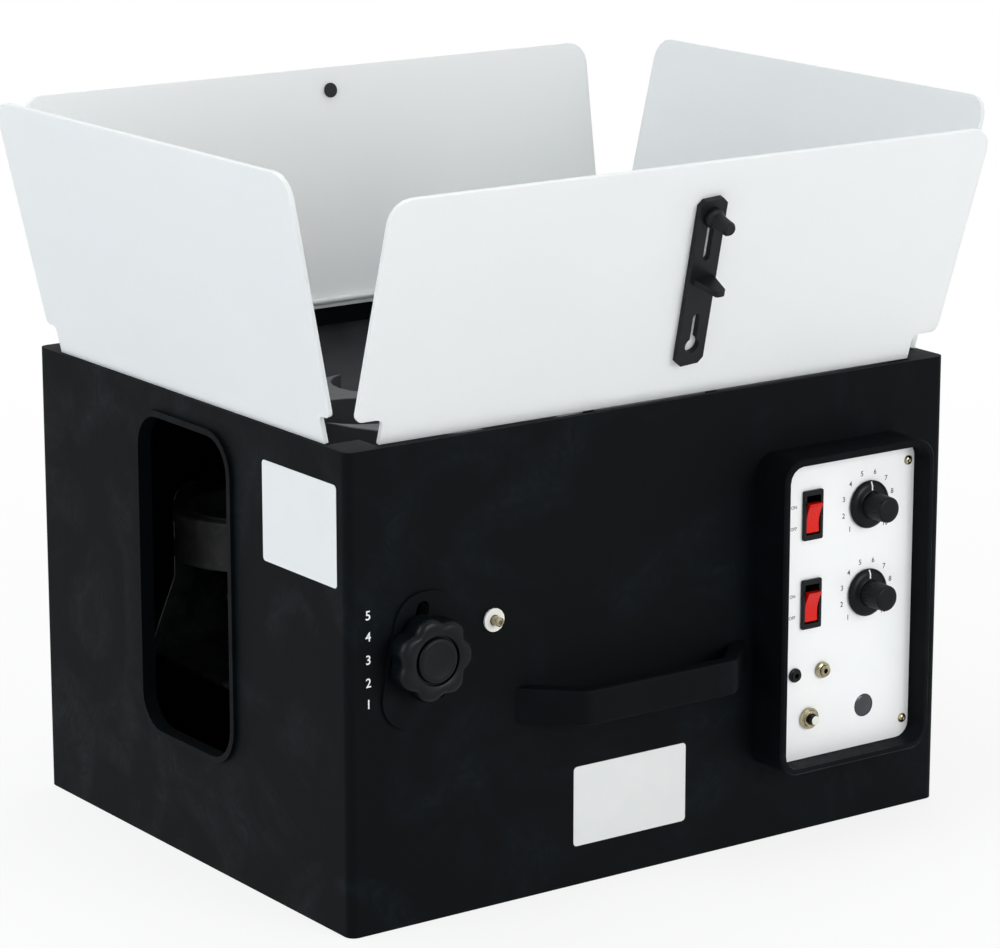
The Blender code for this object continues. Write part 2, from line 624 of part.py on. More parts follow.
def hopper_floor(black):
    """A funnel from the rim's ledge down to a round well, whose floor has the ball hole."""
    flange_top = LEDGE_HEIGHT + GAP + FLOOR_THICKNESS
    outer, inner = floor_edge(0.0), floor_edge(FLOOR_FLANGE)
    angles = [atan2(y, x - WELL_X) for x, y in inner]
    well = [(WELL_X + WELL_RADIUS * cos(a), WELL_RADIUS * sin(a)) for a in angles]
    shape = bmesh.new()
    levels = [(outer, flange_top), (inner, flange_top), (well, WELL_FLOOR + WELL_DEPTH),
              (well, WELL_FLOOR)]
    rings = [[shape.verts.new((x, y, z)) for x, y in outline] for outline, z in levels]
    for high, low in zip(rings, rings[1:]):
        for index in range(len(high)):
            after = (index + 1) % len(high)
            shape.faces.new((high[index], high[after], low[after], low[index]))
    holes = [circle((WELL_X - POCKET_PITCH, 0), DROP_RADIUS, 28),
             circle((WELL_X, 0), FEED_SHAFT_RADIUS + 2 * MM, 12)]
    edges = [edge for edge in shape.edges if all(v in rings[-1] for v in edge.verts)]
    for hole in holes:
        ring = [shape.verts.new((x, y, WELL_FLOOR)) for x, y in hole]
        edges += [shape.edges.new(pair) for pair in zip(ring, ring[1:] + ring[:1])]
    bmesh.ops.triangle_fill(shape, use_beauty=True, edges=edges)
    bmesh.ops.recalc_face_normals(shape, faces=shape.faces)
    if sum(face.normal.z for face in shape.faces) < 0:
        bmesh.ops.reverse_faces(shape, faces=shape.faces[:])
    obj = piece("hopper_floor", shape, black)
    modifier = obj.modifiers.new("sheet", "SOLIDIFY")
    modifier.thickness = FLOOR_THICKNESS
    modifier.offset = -1
    modifier.use_even_offset = True


def panel_shape(tab, shoulder, top, shoulder_height, height, heel):
    """Half of a sheet's edge is given: x along it and z up it from its hinge."""
    half = [(tab, -heel), (tab, shoulder_height), (shoulder, shoulder_height), (top, height)]
    corners = half + [(-x, z) for x, z in reversed(half)]
    rounding = min(NOTCH_RADIUS, (shoulder - tab) / 3)
    radii = [0, rounding, rounding, PANEL_RADIUS]
    return rounded(corners, radii + radii[::-1], 4)


def hopper_panel(name, hinge, outline, lugs, holes, looks):
    """One sheet with the bead behind it, and the rod between the lugs that the bead turns on."""
    sheet = slab("xz", [outline] + holes, -SHEET_OUT - SHEET, -SHEET_OUT)
    bead_half = lugs - LUG_WIDTH - GAP
    bead = cylinder(BEAD_RADIUS, 2 * bead_half, 12, (-bead_half, 0, 0), (1, 0, 0))
    web_depth = SHEET_OUT + SHEET / 2
    web = slab("yz", [rectangle((-web_depth / 2, 0), web_depth, BEAD_RADIUS)], -bead_half, bead_half)
    bore = cylinder(ROD_RADIUS + ROD_CLEARANCE, 2 * lugs, 12, (-lugs, 0, 0), (1, 0, 0))
    piece(f"{name}_panel", sheet, looks["sheet"], joins=[bead, web], cuts=[bore], parent=hinge)
    rod = cylinder(ROD_RADIUS, 2 * lugs, 10, (-lugs, 0, 0), (1, 0, 0))
    piece(f"{name}_hinge_rod", rod, looks["steel"], parent=hinge)


def heel_length(hinge_height, lean):
    """How far a sheet reaches below its hinge, so that its outer edge just clears the rim."""
    room = hinge_height - RIM_HEIGHT - GAP
    return (room - (SHEET_OUT + SHEET) * sin(lean)) / cos(lean)


def hopper(looks):
    hinges = {
        "front": ((0, -END_HINGE, END_HINGE_HEIGHT), FRONT_LEAN, 0),
        "back": ((0, END_HINGE, END_HINGE_HEIGHT), BACK_LEAN, pi),
        "left": ((-SIDE_HINGE, 0, SIDE_HINGE_HEIGHT), LEFT_LEAN, -pi / 2),
        "right": ((SIDE_HINGE, 0, SIDE_HINGE_HEIGHT), RIGHT_LEAN, pi / 2),
    }
    neck_hole = NECK_RADIUS + NECK_CLEARANCE
    holes = {
        "front": [circle((LATCH_OFFSET, LATCH_HEIGHT), neck_hole, 12)],
        "back": [circle((-LATCH_OFFSET, catch_height()), neck_hole, 12)],
    }
    end_top = SIDE_HINGE + SHEET_OUT + FOLD_CLEARANCE
    side_top = END_HINGE + SHEET_OUT * cos(FRONT_LEAN) - SIDE_CLEARANCE
    empties = {}
    for name, (place, lean, heading) in hinges.items():
        empties[name] = pivot_empty(f"{name}_hinge", place, (lean, 0, heading))
        heel = heel_length(place[2], lean)
        if name in ("front", "back"):
            tab = WIDTH / 2 - CORNER_BLOCK - TAB_MARGIN
            outline = panel_shape(tab, end_top - END_FLARE, end_top, END_SHOULDER,
                                  END_PANEL_HEIGHT, heel)
            lugs = END_LUGS
        else:
            tab = DEPTH / 2 - CORNER_BLOCK - TAB_MARGIN
            outline = panel_shape(tab, side_top - SIDE_FLARE, side_top, SIDE_SHOULDER,
                                  SIDE_PANEL_HEIGHT, heel)
            lugs = SIDE_LUGS
        hopper_panel(name, empties[name], outline, lugs, holes.get(name, []), looks)
    latch(empties["front"], looks)
    catch(empties["back"], looks)


def catch_height():
    """Up the back sheet, where the strap's keyhole comes down when the hopper is folded."""
    return 2 * END_HINGE - LATCH_HEIGHT - CATCH_REACH


def headed_stud(neck_length, head_profile):
    """A stud through a sheet: a rivet inside, a neck, then a head given as (radius, height)."""
    inside = SHEET_OUT - GAP
    neck = [(0, inside - RIVET_THICKNESS), (RIVET_RADIUS, inside - RIVET_THICKNESS),
            (RIVET_RADIUS, inside), (NECK_RADIUS, inside), (NECK_RADIUS, neck_length)]
    return neck + head_profile


def latch(hinge, looks):
    """A strap with a slot and a keyhole, which hangs on a thumb knob outside the front sheet."""
    face = SHEET_OUT + SHEET + GAP
    outer = face + STRAP_THICKNESS + GAP
    base = (LATCH_OFFSET, 0, LATCH_HEIGHT)
    knob = [(THUMB_KNOB_RADIUS, outer), (THUMB_KNOB_RADIUS, outer + THUMB_KNOB_LENGTH / 6),
            (THUMB_KNOB_RADIUS * 0.75, outer + THUMB_KNOB_LENGTH / 4),
            (THUMB_KNOB_RADIUS * 0.7, outer + THUMB_KNOB_LENGTH * 0.9),
            (THUMB_KNOB_RADIUS * 0.5, outer + THUMB_KNOB_LENGTH), (0, outer + THUMB_KNOB_LENGTH)]
    stud = turned(headed_stud(outer, knob), 20, base, OUTWARD)
    piece("latch_knob", stud, looks["black"], pivot=base, parent=hinge)

    half = STRAP_WIDTH / 2
    top, bottom = LATCH_HEIGHT + STRAP_ABOVE, LATCH_HEIGHT - STRAP_BELOW
    corners = [(LATCH_OFFSET - half, bottom), (LATCH_OFFSET + half, bottom),
               (LATCH_OFFSET + half, top), (LATCH_OFFSET - half, top)]
    outline = rounded(corners, STRAP_CHAMFER, 1)
    width = 2 * (NECK_RADIUS + NECK_CLEARANCE)
    slot = rectangle((LATCH_OFFSET, LATCH_HEIGHT - LATCH_TRAVEL / 2), width, LATCH_TRAVEL + width,
                     width / 2.01, 5)
    keyhole = keyhole_outline(LATCH_HEIGHT - KEYHOLE_REACH, width / 2)
    strap = slab("xz", [outline, slot, keyhole], -face - STRAP_THICKNESS, -face)
    root, tip = STRAP_WIDTH * 0.4, STRAP_WIDTH * 0.16
    fin_outline = rounded([(LATCH_OFFSET - root, -face - STRAP_THICKNESS / 2),
                           (LATCH_OFFSET - tip, -face - STRAP_THICKNESS - TAB_REACH),
                           (LATCH_OFFSET + tip, -face - STRAP_THICKNESS - TAB_REACH),
                           (LATCH_OFFSET + root, -face - STRAP_THICKNESS / 2)],
                          [0, tip * 0.7, tip * 0.7, 0], 3)
    middle = LATCH_HEIGHT - TAB_DROP
    fin = slab("xy", [fin_outline], middle - TAB_THICKNESS / 2, middle + TAB_THICKNESS / 2)
    hanging = piece("latch_strap", strap, looks["black"], pivot=base, joins=[fin], parent=hinge)
    hanging.rotation_euler.y = -STRAP_SWING


def keyhole_outline(height, half_width):
    """A round hole that narrows upwards into a slot for the catch's neck."""
    meet = asin(half_width / KEYHOLE_RADIUS)
    hole = arc((LATCH_OFFSET, height), KEYHOLE_RADIUS, pi / 2 + meet, 5 * pi / 2 - meet, 14)
    slot_end = arc((LATCH_OFFSET, height + KEYHOLE_LENGTH - half_width), half_width, 0, pi, 5)
    return hole + slot_end


def catch(hinge, looks):
    """The headed stud on the back sheet that the folded strap hooks over."""
    base = (-LATCH_OFFSET, 0, catch_height())
    under = SHEET_OUT + SHEET + STRAP_THICKNESS + 3 * GAP
    head = [(HEAD_RADIUS, under), (HEAD_RADIUS, under + RIVET_THICKNESS),
            (HEAD_RADIUS / 2, under + 2 * RIVET_THICKNESS), (0, under + 2 * RIVET_THICKNESS)]
    stud = turned(headed_stud(under, head), 16, base, OUTWARD)
    piece("catch_stud", stud, looks["black"], pivot=base, parent=hinge)



def rotor_outline():
    """A disc with round pockets that open at its rim, each as wide as a ball."""
    radius = WELL_RADIUS - ROTOR_CLEARANCE
    middle = Vector((WELL_X, 0))
    cosine = (radius**2 + POCKET_PITCH**2 - DROP_RADIUS**2) / (2 * radius * POCKET_PITCH)
    opening = atan2((1 - cosine**2) ** 0.5, cosine)
    points = []
    for number in range(POCKETS):
        heading = 2 * pi * number / POCKETS
        pocket = middle + POCKET_PITCH * Vector((cos(heading), sin(heading)))
        mouth = asin(radius * sin(opening) / DROP_RADIUS)
        points += arc(pocket, DROP_RADIUS, heading - mouth, heading - 2 * pi + mouth, 18)
        following = heading + 2 * pi / POCKETS - opening
        points += arc(middle, radius, heading + opening, following, 6)[1:-1]
    return points


def feed(looks):
    low = WELL_FLOOR + 1 * MM
    top = low + ROTOR_THICKNESS
    bore = FEED_SHAFT_RADIUS + GAP
    disc = slab("xy", [rotor_outline()], low, top)
    overlap = ROTOR_THICKNESS / 2
    dome = turned([(0, -overlap), (ROTOR_HUB_RADIUS, -overlap), (ROTOR_HUB_RADIUS, 0),
                   (ROTOR_HUB_RADIUS * 0.8, ROTOR_HUB_RISE * 0.6),
                   (ROTOR_HUB_RADIUS * 0.35, ROTOR_HUB_RISE), (0, ROTOR_HUB_RISE)],
                  20, (WELL_X, 0, top))
    shaft_top = top - 4 * MM
    socket = cylinder(bore, shaft_top + GAP - low + WALL, 12, (WELL_X, 0, low - WALL))
    piece("feed_rotor", disc, looks["grey"], pivot=(WELL_X, 0, low), joins=[dome], cuts=[socket])

    under = WELL_FLOOR - FLOOR_THICKNESS - GAP
    box_middle = (WELL_X + FEED_BOX_LENGTH / 2 - FEED_BOX_WIDTH / 4, 0)
    box = slab("xy", [rectangle(box_middle, FEED_BOX_LENGTH, FEED_BOX_WIDTH, 5 * MM, 3)],
               under - FEED_BOX_HEIGHT, under)
    shaft = cylinder(FEED_SHAFT_RADIUS, shaft_top - under + FEED_BOX_HEIGHT / 2, 12,
                     (WELL_X, 0, under - FEED_BOX_HEIGHT / 2))
    can_base = (box_middle[0] + FEED_BOX_LENGTH / 4, 0, under - FEED_BOX_HEIGHT - FEED_CAN_LENGTH)
    can = cylinder(FEED_CAN_RADIUS, FEED_CAN_LENGTH + FEED_BOX_HEIGHT / 2, 20, can_base)
    piece("feed_gearmotor", box, looks["zinc"], joins=[shaft, can])



def arm_outline(lug):
    """A cradle arm: round at the pivot, straight down to the floor, with a lug for the stud."""
    pivot = Vector((PIVOT_X, PIVOT_HEIGHT))
    half = CRADLE_ARM_WIDTH / 2
    bottom = CRADLE_FLOOR - CRADLE_SHEET
    shoulder = PIVOT_HEIGHT - CRADLE_DROP / 2
    points = [(PIVOT_X - CRADLE_AHEAD, bottom), (PIVOT_X + CRADLE_BEHIND, bottom),
              (PIVOT_X + half, shoulder)]
    points += arc(pivot, half, 0, pi / 2 if lug else pi, 5 if lug else 10)
    if lug:
        stud = arm_point(KNOB_ANGLE)
        radius = STUD_RADIUS + 7 * MM
        points += arc(stud, radius, pi / 2, 3 * pi / 2, 8)
    points.append((PIVOT_X - half, shoulder))
    return points


def cradle(looks):
    """A U of sheet steel that hangs on two pins and is clamped by the elevation knob."""
    floor = slab("xy", [rectangle((PIVOT_X + (CRADLE_BEHIND - CRADLE_AHEAD) / 2, 0),
                                  CRADLE_AHEAD + CRADLE_BEHIND, 2 * CRADLE_SIDE)],
                 CRADLE_FLOOR - CRADLE_SHEET, CRADLE_FLOOR)
    pin_hole = PIN_RADIUS + GAP
    stud_hole = circle(arm_point(KNOB_ANGLE), STUD_RADIUS + GAP, 16)
    pivot_hole = circle((PIVOT_X, PIVOT_HEIGHT), pin_hole, 16)
    front = slab("xz", [arm_outline(True), pivot_hole, stud_hole],
                 -CRADLE_SIDE, -CRADLE_SIDE + CRADLE_SHEET)
    back = slab("xz", [arm_outline(False), pivot_hole], CRADLE_SIDE - CRADLE_SHEET, CRADLE_SIDE)
    pivot = (PIVOT_X, 0, PIVOT_HEIGHT)
    piece("tilt_cradle", floor, looks["zinc"], pivot=pivot, joins=[front, back])
    for name, side in (("front", -1), ("back", 1)):
        pivot_pin(name, side, looks)
    yaw_post(looks)


def pivot_pin(name, side, looks):
    """A headed pin from inside the arm through a flanged bushing in the wall."""
    outward = (0, side, 0)
    wall_face = DEPTH / 2
    inside = CRADLE_SIDE - CRADLE_SHEET - GAP
    head = 4 * MM
    base = (PIVOT_X, side * (inside - head), PIVOT_HEIGHT)
    length = wall_face + BUSHING_FLANGE + PIN_REACH - (inside - head)
    rounding = PIN_RADIUS / 3
    profile = [(0, 0), (2 * PIN_RADIUS, 0), (2 * PIN_RADIUS, head), (PIN_RADIUS, head),
               (PIN_RADIUS, length - rounding), (PIN_RADIUS - rounding, length),
               (PIN_RADIUS / 2, length), (PIN_RADIUS / 2, length - 2 * MM), (0, length - 2 * MM)]
    piece(f"pivot_pin_{name}", turned(profile, 12, base, outward), looks["steel"],
          pivot=(PIVOT_X, 0, PIVOT_HEIGHT))
    bore, sleeve = PIN_RADIUS + GAP, PIN_RADIUS + BUSHING_WALL + GAP
    start = wall_face - WALL
    flange = WALL + GAP
    ring = [(bore, 0), (sleeve, 0), (sleeve, flange), (BUSHING_FLANGE_RADIUS, flange),
            (BUSHING_FLANGE_RADIUS, flange + BUSHING_FLANGE), (bore, flange + BUSHING_FLANGE)]
    bushing = turned(ring, 16, (PIVOT_X, side * start, PIVOT_HEIGHT), outward, ring=True)
    piece(f"pivot_bushing_{name}", bushing, looks["nylon"])


def yaw_post(looks):
    """The post on the cradle's floor that the throwing head swings on."""
    flange = 4 * MM
    shoulder = HEAD_PLATE_UNDER - GAP - CRADLE_FLOOR - GAP
    top = shoulder + HEAD_PLATE + 2 * GAP
    cap = 2 * MM
    profile = [(0, 0), (POST_RADIUS + flange, 0), (POST_RADIUS + flange, flange),
               (POST_RADIUS, flange), (POST_RADIUS, shoulder), (SPINDLE_RADIUS, shoulder),
               (SPINDLE_RADIUS, top), (POST_RADIUS * 0.8, top), (POST_RADIUS * 0.8, top + cap),
               (0, top + cap)]
    post = turned(profile, 16, (PIVOT_X, 0, CRADLE_FLOOR + GAP))
    piece("yaw_post", post, looks["zinc"])


def wheel_places():
    return (("front", -WHEEL_SPACING / 2), ("back", WHEEL_SPACING / 2))


def throwing_head(looks):
    """The plate that carries both wheel motors, with the ball guide between the wheels."""
    yaw = (PIVOT_X, 0, PIVOT_HEIGHT)
    half, side = HEAD_PLATE_WIDTH / 2, WHEEL_SPACING / 2 + HEAD_PLATE_WIDTH / 2
    tongue = GUIDE_RADIUS
    corners = [(PIVOT_X - half, -side), (PIVOT_X + half, -side), (PIVOT_X + half, -tongue),
               (PIVOT_X + HEAD_TONGUE, -tongue), (PIVOT_X + HEAD_TONGUE, tongue),
               (PIVOT_X + half, tongue), (PIVOT_X + half, side), (PIVOT_X - half, side)]
    outer, inner = half * 0.8, half * 0.2
    outline = rounded(corners, [outer, outer, inner, inner, inner, inner, outer, outer], 4)
    holes = [circle((PIVOT_X, 0), SPINDLE_RADIUS + GAP, 20),
             circle((PIVOT_X + OSCILLATOR_ARM, 0), LINK_PIN_RADIUS + GAP, 12)]
    boss = 3 * MOTOR_SHAFT_RADIUS
    holes += [circle((PIVOT_X, y), boss + GAP, 16) for _, y in wheel_places()]
    plate = slab("xy", [outline] + holes, HEAD_PLATE_UNDER, HEAD_PLATE_TOP)
    piece("head_plate", plate, looks["zinc"], pivot=yaw)
    ball_guide(looks, yaw)
    for name, y in wheel_places():
        throw_motor(name, y, boss, looks)
        throw_wheel(name, y, looks)


def ball_guide(looks, yaw):
    """A trough under the ball's path, on two feet, with a round stop behind it."""
    start, end = -pi / 2 - GUIDE_ANGLE, -pi / 2 + GUIDE_ANGLE
    inner = arc((0, PIVOT_HEIGHT), GUIDE_RADIUS, start, end, 8)
    outer = arc((0, PIVOT_HEIGHT), GUIDE_RADIUS + GUIDE_WALL, end, start, 8)
    front, rear = PIVOT_X - GUIDE_REACH, PIVOT_X + HEAD_TONGUE - 4 * MM
    trough = slab("yz", [inner + outer], front, rear - GUIDE_WALL / 2)
    stop_radius = GUIDE_RADIUS + GUIDE_WALL
    stop_outline = arc((0, PIVOT_HEIGHT), stop_radius, pi, 2 * pi, 16) + [
        (stop_radius, PIVOT_HEIGHT + 8 * MM), (-stop_radius, PIVOT_HEIGHT + 8 * MM)]
    stop = slab("yz", [stop_outline], rear - GUIDE_WALL, rear)
    foot_low = HEAD_PLATE_TOP + GAP
    foot_high = PIVOT_HEIGHT - GUIDE_RADIUS - GUIDE_WALL / 2
    foot_side, foot_width = 10 * MM, 4 * MM
    feet = []
    for along in (PIVOT_X + POST_RADIUS + foot_width, PIVOT_X - POST_RADIUS - foot_width):
        feet.append(block((along - foot_width / 2, -foot_side, foot_low),
                          (along + foot_width / 2, foot_side, foot_high)))
    piece("ball_guide", trough, looks["black"], pivot=yaw, joins=[stop] + feet)


def throw_motor(name, y, boss, looks):
    """A motor that hangs under the head plate, with its shaft up through the wheel's hub."""
    top = HEAD_PLATE_UNDER - GAP
    boss_top = HEAD_PLATE / 2
    shaft_top = PIVOT_HEIGHT + WHEEL_WIDTH / 2 - 4 * MM - top
    edge = 2 * MM
    profile = [(0, -MOTOR_LENGTH), (MOTOR_RADIUS - edge, -MOTOR_LENGTH),
               (MOTOR_RADIUS, edge - MOTOR_LENGTH), (MOTOR_RADIUS, 0), (boss, 0), (boss, boss_top),
               (MOTOR_SHAFT_RADIUS, boss_top), (MOTOR_SHAFT_RADIUS, shaft_top), (0, shaft_top)]
    piece(f"throw_motor_{name}", turned(profile, 20, (PIVOT_X, y, top)), looks["zinc"])


def throw_wheel(name, y, looks):
    """A dished hub with a hollow-faced tyre round it."""
    half = WHEEL_WIDTH / 2
    rim = WHEEL_RADIUS - TYRE_THICKNESS - GAP
    bore = MOTOR_SHAFT_RADIUS + GAP
    web, boss = 3 * MM, 9 * MM
    lower = HEAD_PLATE_TOP - PIVOT_HEIGHT + 4 * MM
    lip = 4 * MM
    hub = [(bore, lower), (boss, lower), (boss, -web), (rim - lip, -web), (rim - lip, -half),
           (rim, -half), (rim, half), (rim - lip, half), (rim - lip, web), (boss, web),
           (boss, half - lip), (bore, half - lip)]
    centre = (PIVOT_X, y, PIVOT_HEIGHT)
    piece(f"throw_hub_{name}", turned(hub, 28, centre, ring=True), looks["grey"], pivot=centre)
    seat = WHEEL_RADIUS - TYRE_THICKNESS
    tread = WHEEL_RADIUS - TREAD_HOLLOW
    tyre = [(seat, -half), (WHEEL_RADIUS - 1 * MM, -half), (WHEEL_RADIUS, 1 * MM - half),
            (tread, -half / 3), (tread, half / 3), (WHEEL_RADIUS, half - 1 * MM),
            (WHEEL_RADIUS - 1 * MM, half), (seat, half)]
    piece(f"throw_tyre_{name}", turned(tyre, 28, centre, ring=True), looks["rubber"], pivot=centre)


def oscillator(looks):
    """A gearmotor on the cradle whose crank drives the head through a link.

    The link's far eye stays just above the crank's pin, so this pivot is open.
    """
    throw = OSCILLATOR_ARM * sin(YAW_LIMIT)
    crank = Vector((PIVOT_X + OSCILLATOR_ARM, OSCILLATOR_SIDE))
    link_top = HEAD_PLATE_UNDER - 4 * MM
    link_low = link_top - LINK_THICKNESS
    crank_top = link_low - OPEN_PIVOT_GAP - LINK_THICKNESS
    motor_top = crank_top - CRANK_THICKNESS - GAP
    motor_base = CRADLE_FLOOR + GAP
    shaft_radius = 2 * MM
    length = motor_top - motor_base
    motor = turned([(0, 0), (OSCILLATOR_MOTOR_RADIUS, 0), (OSCILLATOR_MOTOR_RADIUS, length),
                    (shaft_radius, length), (shaft_radius, length + CRANK_THICKNESS / 2 + GAP),
                    (0, length + CRANK_THICKNESS / 2 + GAP)], 20, (*crank, motor_base))
    piece("oscillator_gearmotor", motor, looks["zinc"])

    disc_radius = throw + LINK_PIN_RADIUS + 2 * MM
    socket = CRANK_THICKNESS / 2 + GAP
    disc = turned([(0, socket), (shaft_radius + GAP, socket), (shaft_radius + GAP, 0),
                   (disc_radius, 0), (disc_radius, CRANK_THICKNESS), (0, CRANK_THICKNESS)], 20,
                  (*crank, crank_top - CRANK_THICKNESS))
    pin = cylinder(LINK_PIN_RADIUS, LINK_THICKNESS + CRANK_THICKNESS / 2, 12,
                   (crank.x + throw, crank.y, crank_top - CRANK_THICKNESS / 2))
    piece("oscillator_crank", disc, looks["zinc"], pivot=(*crank, crank_top), joins=[pin])

    near = Vector((PIVOT_X + OSCILLATOR_ARM, 0))
    far = Vector((crank.x + throw, crank.y))
    bore = LINK_PIN_RADIUS + GAP
    bar = slab("xy", [link_outline(near, far, 2 * LINK_PIN_RADIUS + 1 * MM),
                      circle(near, bore, 12), circle(far, bore, 12)], link_low, link_top)
    piece("oscillator_link", bar, looks["zinc"], pivot=(*near, link_low))

    head = 1.5 * MM
    low, high = link_low - GAP - head, HEAD_PLATE_TOP + GAP
    rivet = turned([(0, low), (2 * LINK_PIN_RADIUS, low), (2 * LINK_PIN_RADIUS, low + head),
                    (LINK_PIN_RADIUS, low + head), (LINK_PIN_RADIUS, high),
                    (2 * LINK_PIN_RADIUS, high), (2 * LINK_PIN_RADIUS, high + head),
                    (0, high + head)], 12, (*near, 0))
    piece("oscillator_rivet", rivet, looks["steel"])


def link_outline(near, far, radius):
    heading = atan2(far.y - near.y, far.x - near.x)
    return (arc(near, radius, heading + pi / 2, heading + 3 * pi / 2, 8)
            + arc(far, radius, heading - pi / 2, heading + pi / 2, 8))



def lobed_outline(middle, radius, depth, lobes, steps):
    points = []
    for step in range(lobes * steps):
        angle = 2 * pi * step / (lobes * steps)
        wave = (1 - cos(lobes * angle)) / 2
        reach = radius - depth * wave**2
        points.append((middle[0] + reach * cos(angle), middle[1] + reach * sin(angle)))
    return points


def elevation_knob(looks):
    """A lobed clamping knob on a threaded stud, which runs through the slot into the cradle."""
    x, z = arm_point(KNOB_ANGLE)
    back = FRONT - PAD_RISE - GAP
    front = back - KNOB_THICKNESS
    edge = 2.5 * MM
    lobes = [(edge * 1.5, back), (0, back - edge), (0, front + edge), (edge, front)]
    layers = [(lobed_outline((x, z), KNOB_RADIUS - inset, KNOB_LOBE_DEPTH, KNOB_LOBES, 6), y)
              for inset, y in lobes]
    disc = turned([(0, -edge), (KNOB_DISC_RADIUS, -edge), (KNOB_DISC_RADIUS, 0.6 * MM),
                   (KNOB_DISC_RADIUS - 1 * MM, 1.2 * MM), (0, 1.2 * MM)], 24, (x, front, z), OUTWARD)
    groove = tube(KNOB_DISC_RADIUS + 1.5 * MM, KNOB_DISC_RADIUS + GAP, 3 * MM, 24,
                  (x, front + 1 * MM, z), OUTWARD)
    stud_front = back - KNOB_THICKNESS / 2
    socket = cylinder(STUD_RADIUS + GAP, KNOB_THICKNESS / 2 + WALL + GAP, 16,
                      (x, back + WALL, z), OUTWARD)
    knob = loft("xz", layers)
    pivot = (x, back, z)
    piece("elevation_knob", knob, looks["black"], pivot=pivot, joins=[disc], cuts=[groove, socket])

    nut_height = 6 * MM
    inner = -CRADLE_SIDE + CRADLE_SHEET
    end = inner + nut_height + 4 * MM
    stud = cylinder(STUD_RADIUS, end - stud_front, 16, (x, end, z), OUTWARD)
    piece("elevation_stud", stud, looks["steel"], pivot=pivot)
    hexagon = circle((x, z), 2 * STUD_RADIUS, 6)
    bore = circle((x, z), STUD_RADIUS + GAP, 16)
    nut = slab("xz", [hexagon, bore], inner + GAP, inner + GAP + nut_height)
    piece("elevation_nut", nut, looks["zinc"])



def control_plate(looks):
    clearance = FRAME_WALL + GAP
    outline = rectangle((PLATE_X, PLATE_Z), FRAME_WIDTH - 2 * clearance,
                        FRAME_HEIGHT - 2 * clearance, FRAME_RADIUS - clearance, 5)
    holes = []
    for row in (UPPER_ROW, LOWER_ROW):
        switch = on_plate(SWITCH_COLUMN, row)
        holes.append(rectangle((switch.x, switch.z), body_width() + 2 * GAP, body_height() + 2 * GAP))
        dial = on_plate(DIAL_COLUMN, row)
        holes.append(circle((dial.x, dial.z), POT_RADIUS / 2 + GAP, 12))
    for right, up, radius in ((BLACK_JACK, -JACK_HEIGHT_BELOW, jack_barrel()),
                              (METAL_JACK, -JACK_HEIGHT_BELOW, jack_barrel()),
                              (SWITCH_COLUMN, -LOWEST_ROW, breaker_barrel()),
                              (DIAL_COLUMN, -LOWEST_ROW, SENSOR_RADIUS)):
        place = on_plate(right, up)
        holes.append(circle((place.x, place.z), radius + GAP, 16))
    plate = slab("xz", [outline] + holes, PLATE_FRONT, PLATE_BACK)
    piece("control_plate", plate, looks["plate"])


def body_width():
    return BEZEL_WIDTH - 2.5 * MM


def body_height():
    return BEZEL_HEIGHT - 4 * MM


def jack_barrel():
    return 3.6 * MM


def breaker_barrel():
    return BREAKER_RADIUS - 1.3 * MM


def rocker_switch(name, row, looks):
    """A bezel with its body behind the plate, and the rocker that tips in it."""
    place = on_plate(SWITCH_COLUMN, row)
    middle = (place.x, place.z)
    bezel_front = PLATE_FRONT - GAP - BEZEL_THICKNESS
    room_width, room_height = ROCKER_WIDTH + 2 * GAP, ROCKER_LENGTH + 5 * MM
    pivot_y = PLATE_FRONT + 4.5 * MM
    bezel = slab("xz", [rectangle(middle, BEZEL_WIDTH, BEZEL_HEIGHT, 1 * MM, 2)],
                 bezel_front, PLATE_FRONT - GAP)
    body = slab("xz", [rectangle(middle, body_width(), body_height())],
                bezel_front + BEZEL_THICKNESS / 2, PLATE_FRONT + SWITCH_DEPTH)
    room_back = pivot_y + 5 * MM
    room = slab("xz", [rectangle(middle, room_width, room_height)],
                bezel_front - BEZEL_THICKNESS, room_back)
    piece(f"{name}_switch", bezel, looks["black"], joins=[body], cuts=[room])

    half, width = ROCKER_LENGTH / 2, ROCKER_WIDTH / 2
    reach = pivot_y - bezel_front + 1.8 * MM
    saddle = 3.5 * MM
    outline = [(-reach, -half), (-reach + 1.5 * MM, 0), (-reach, half), (-saddle, half * 0.9)]
    outline += arc((0, 0), saddle, pi / 2, -pi / 2, 6)
    outline += [(-saddle, -half * 0.9)]
    turn = (ROCKER_ANGLE, 0, 0)
    hinge = pivot_empty(f"{name}_rocker_hinge", (place.x, pivot_y, place.z), turn)
    rocker = slab("yz", [outline], -width, width)
    piece(f"{name}_rocker", rocker, looks["red"], parent=hinge)


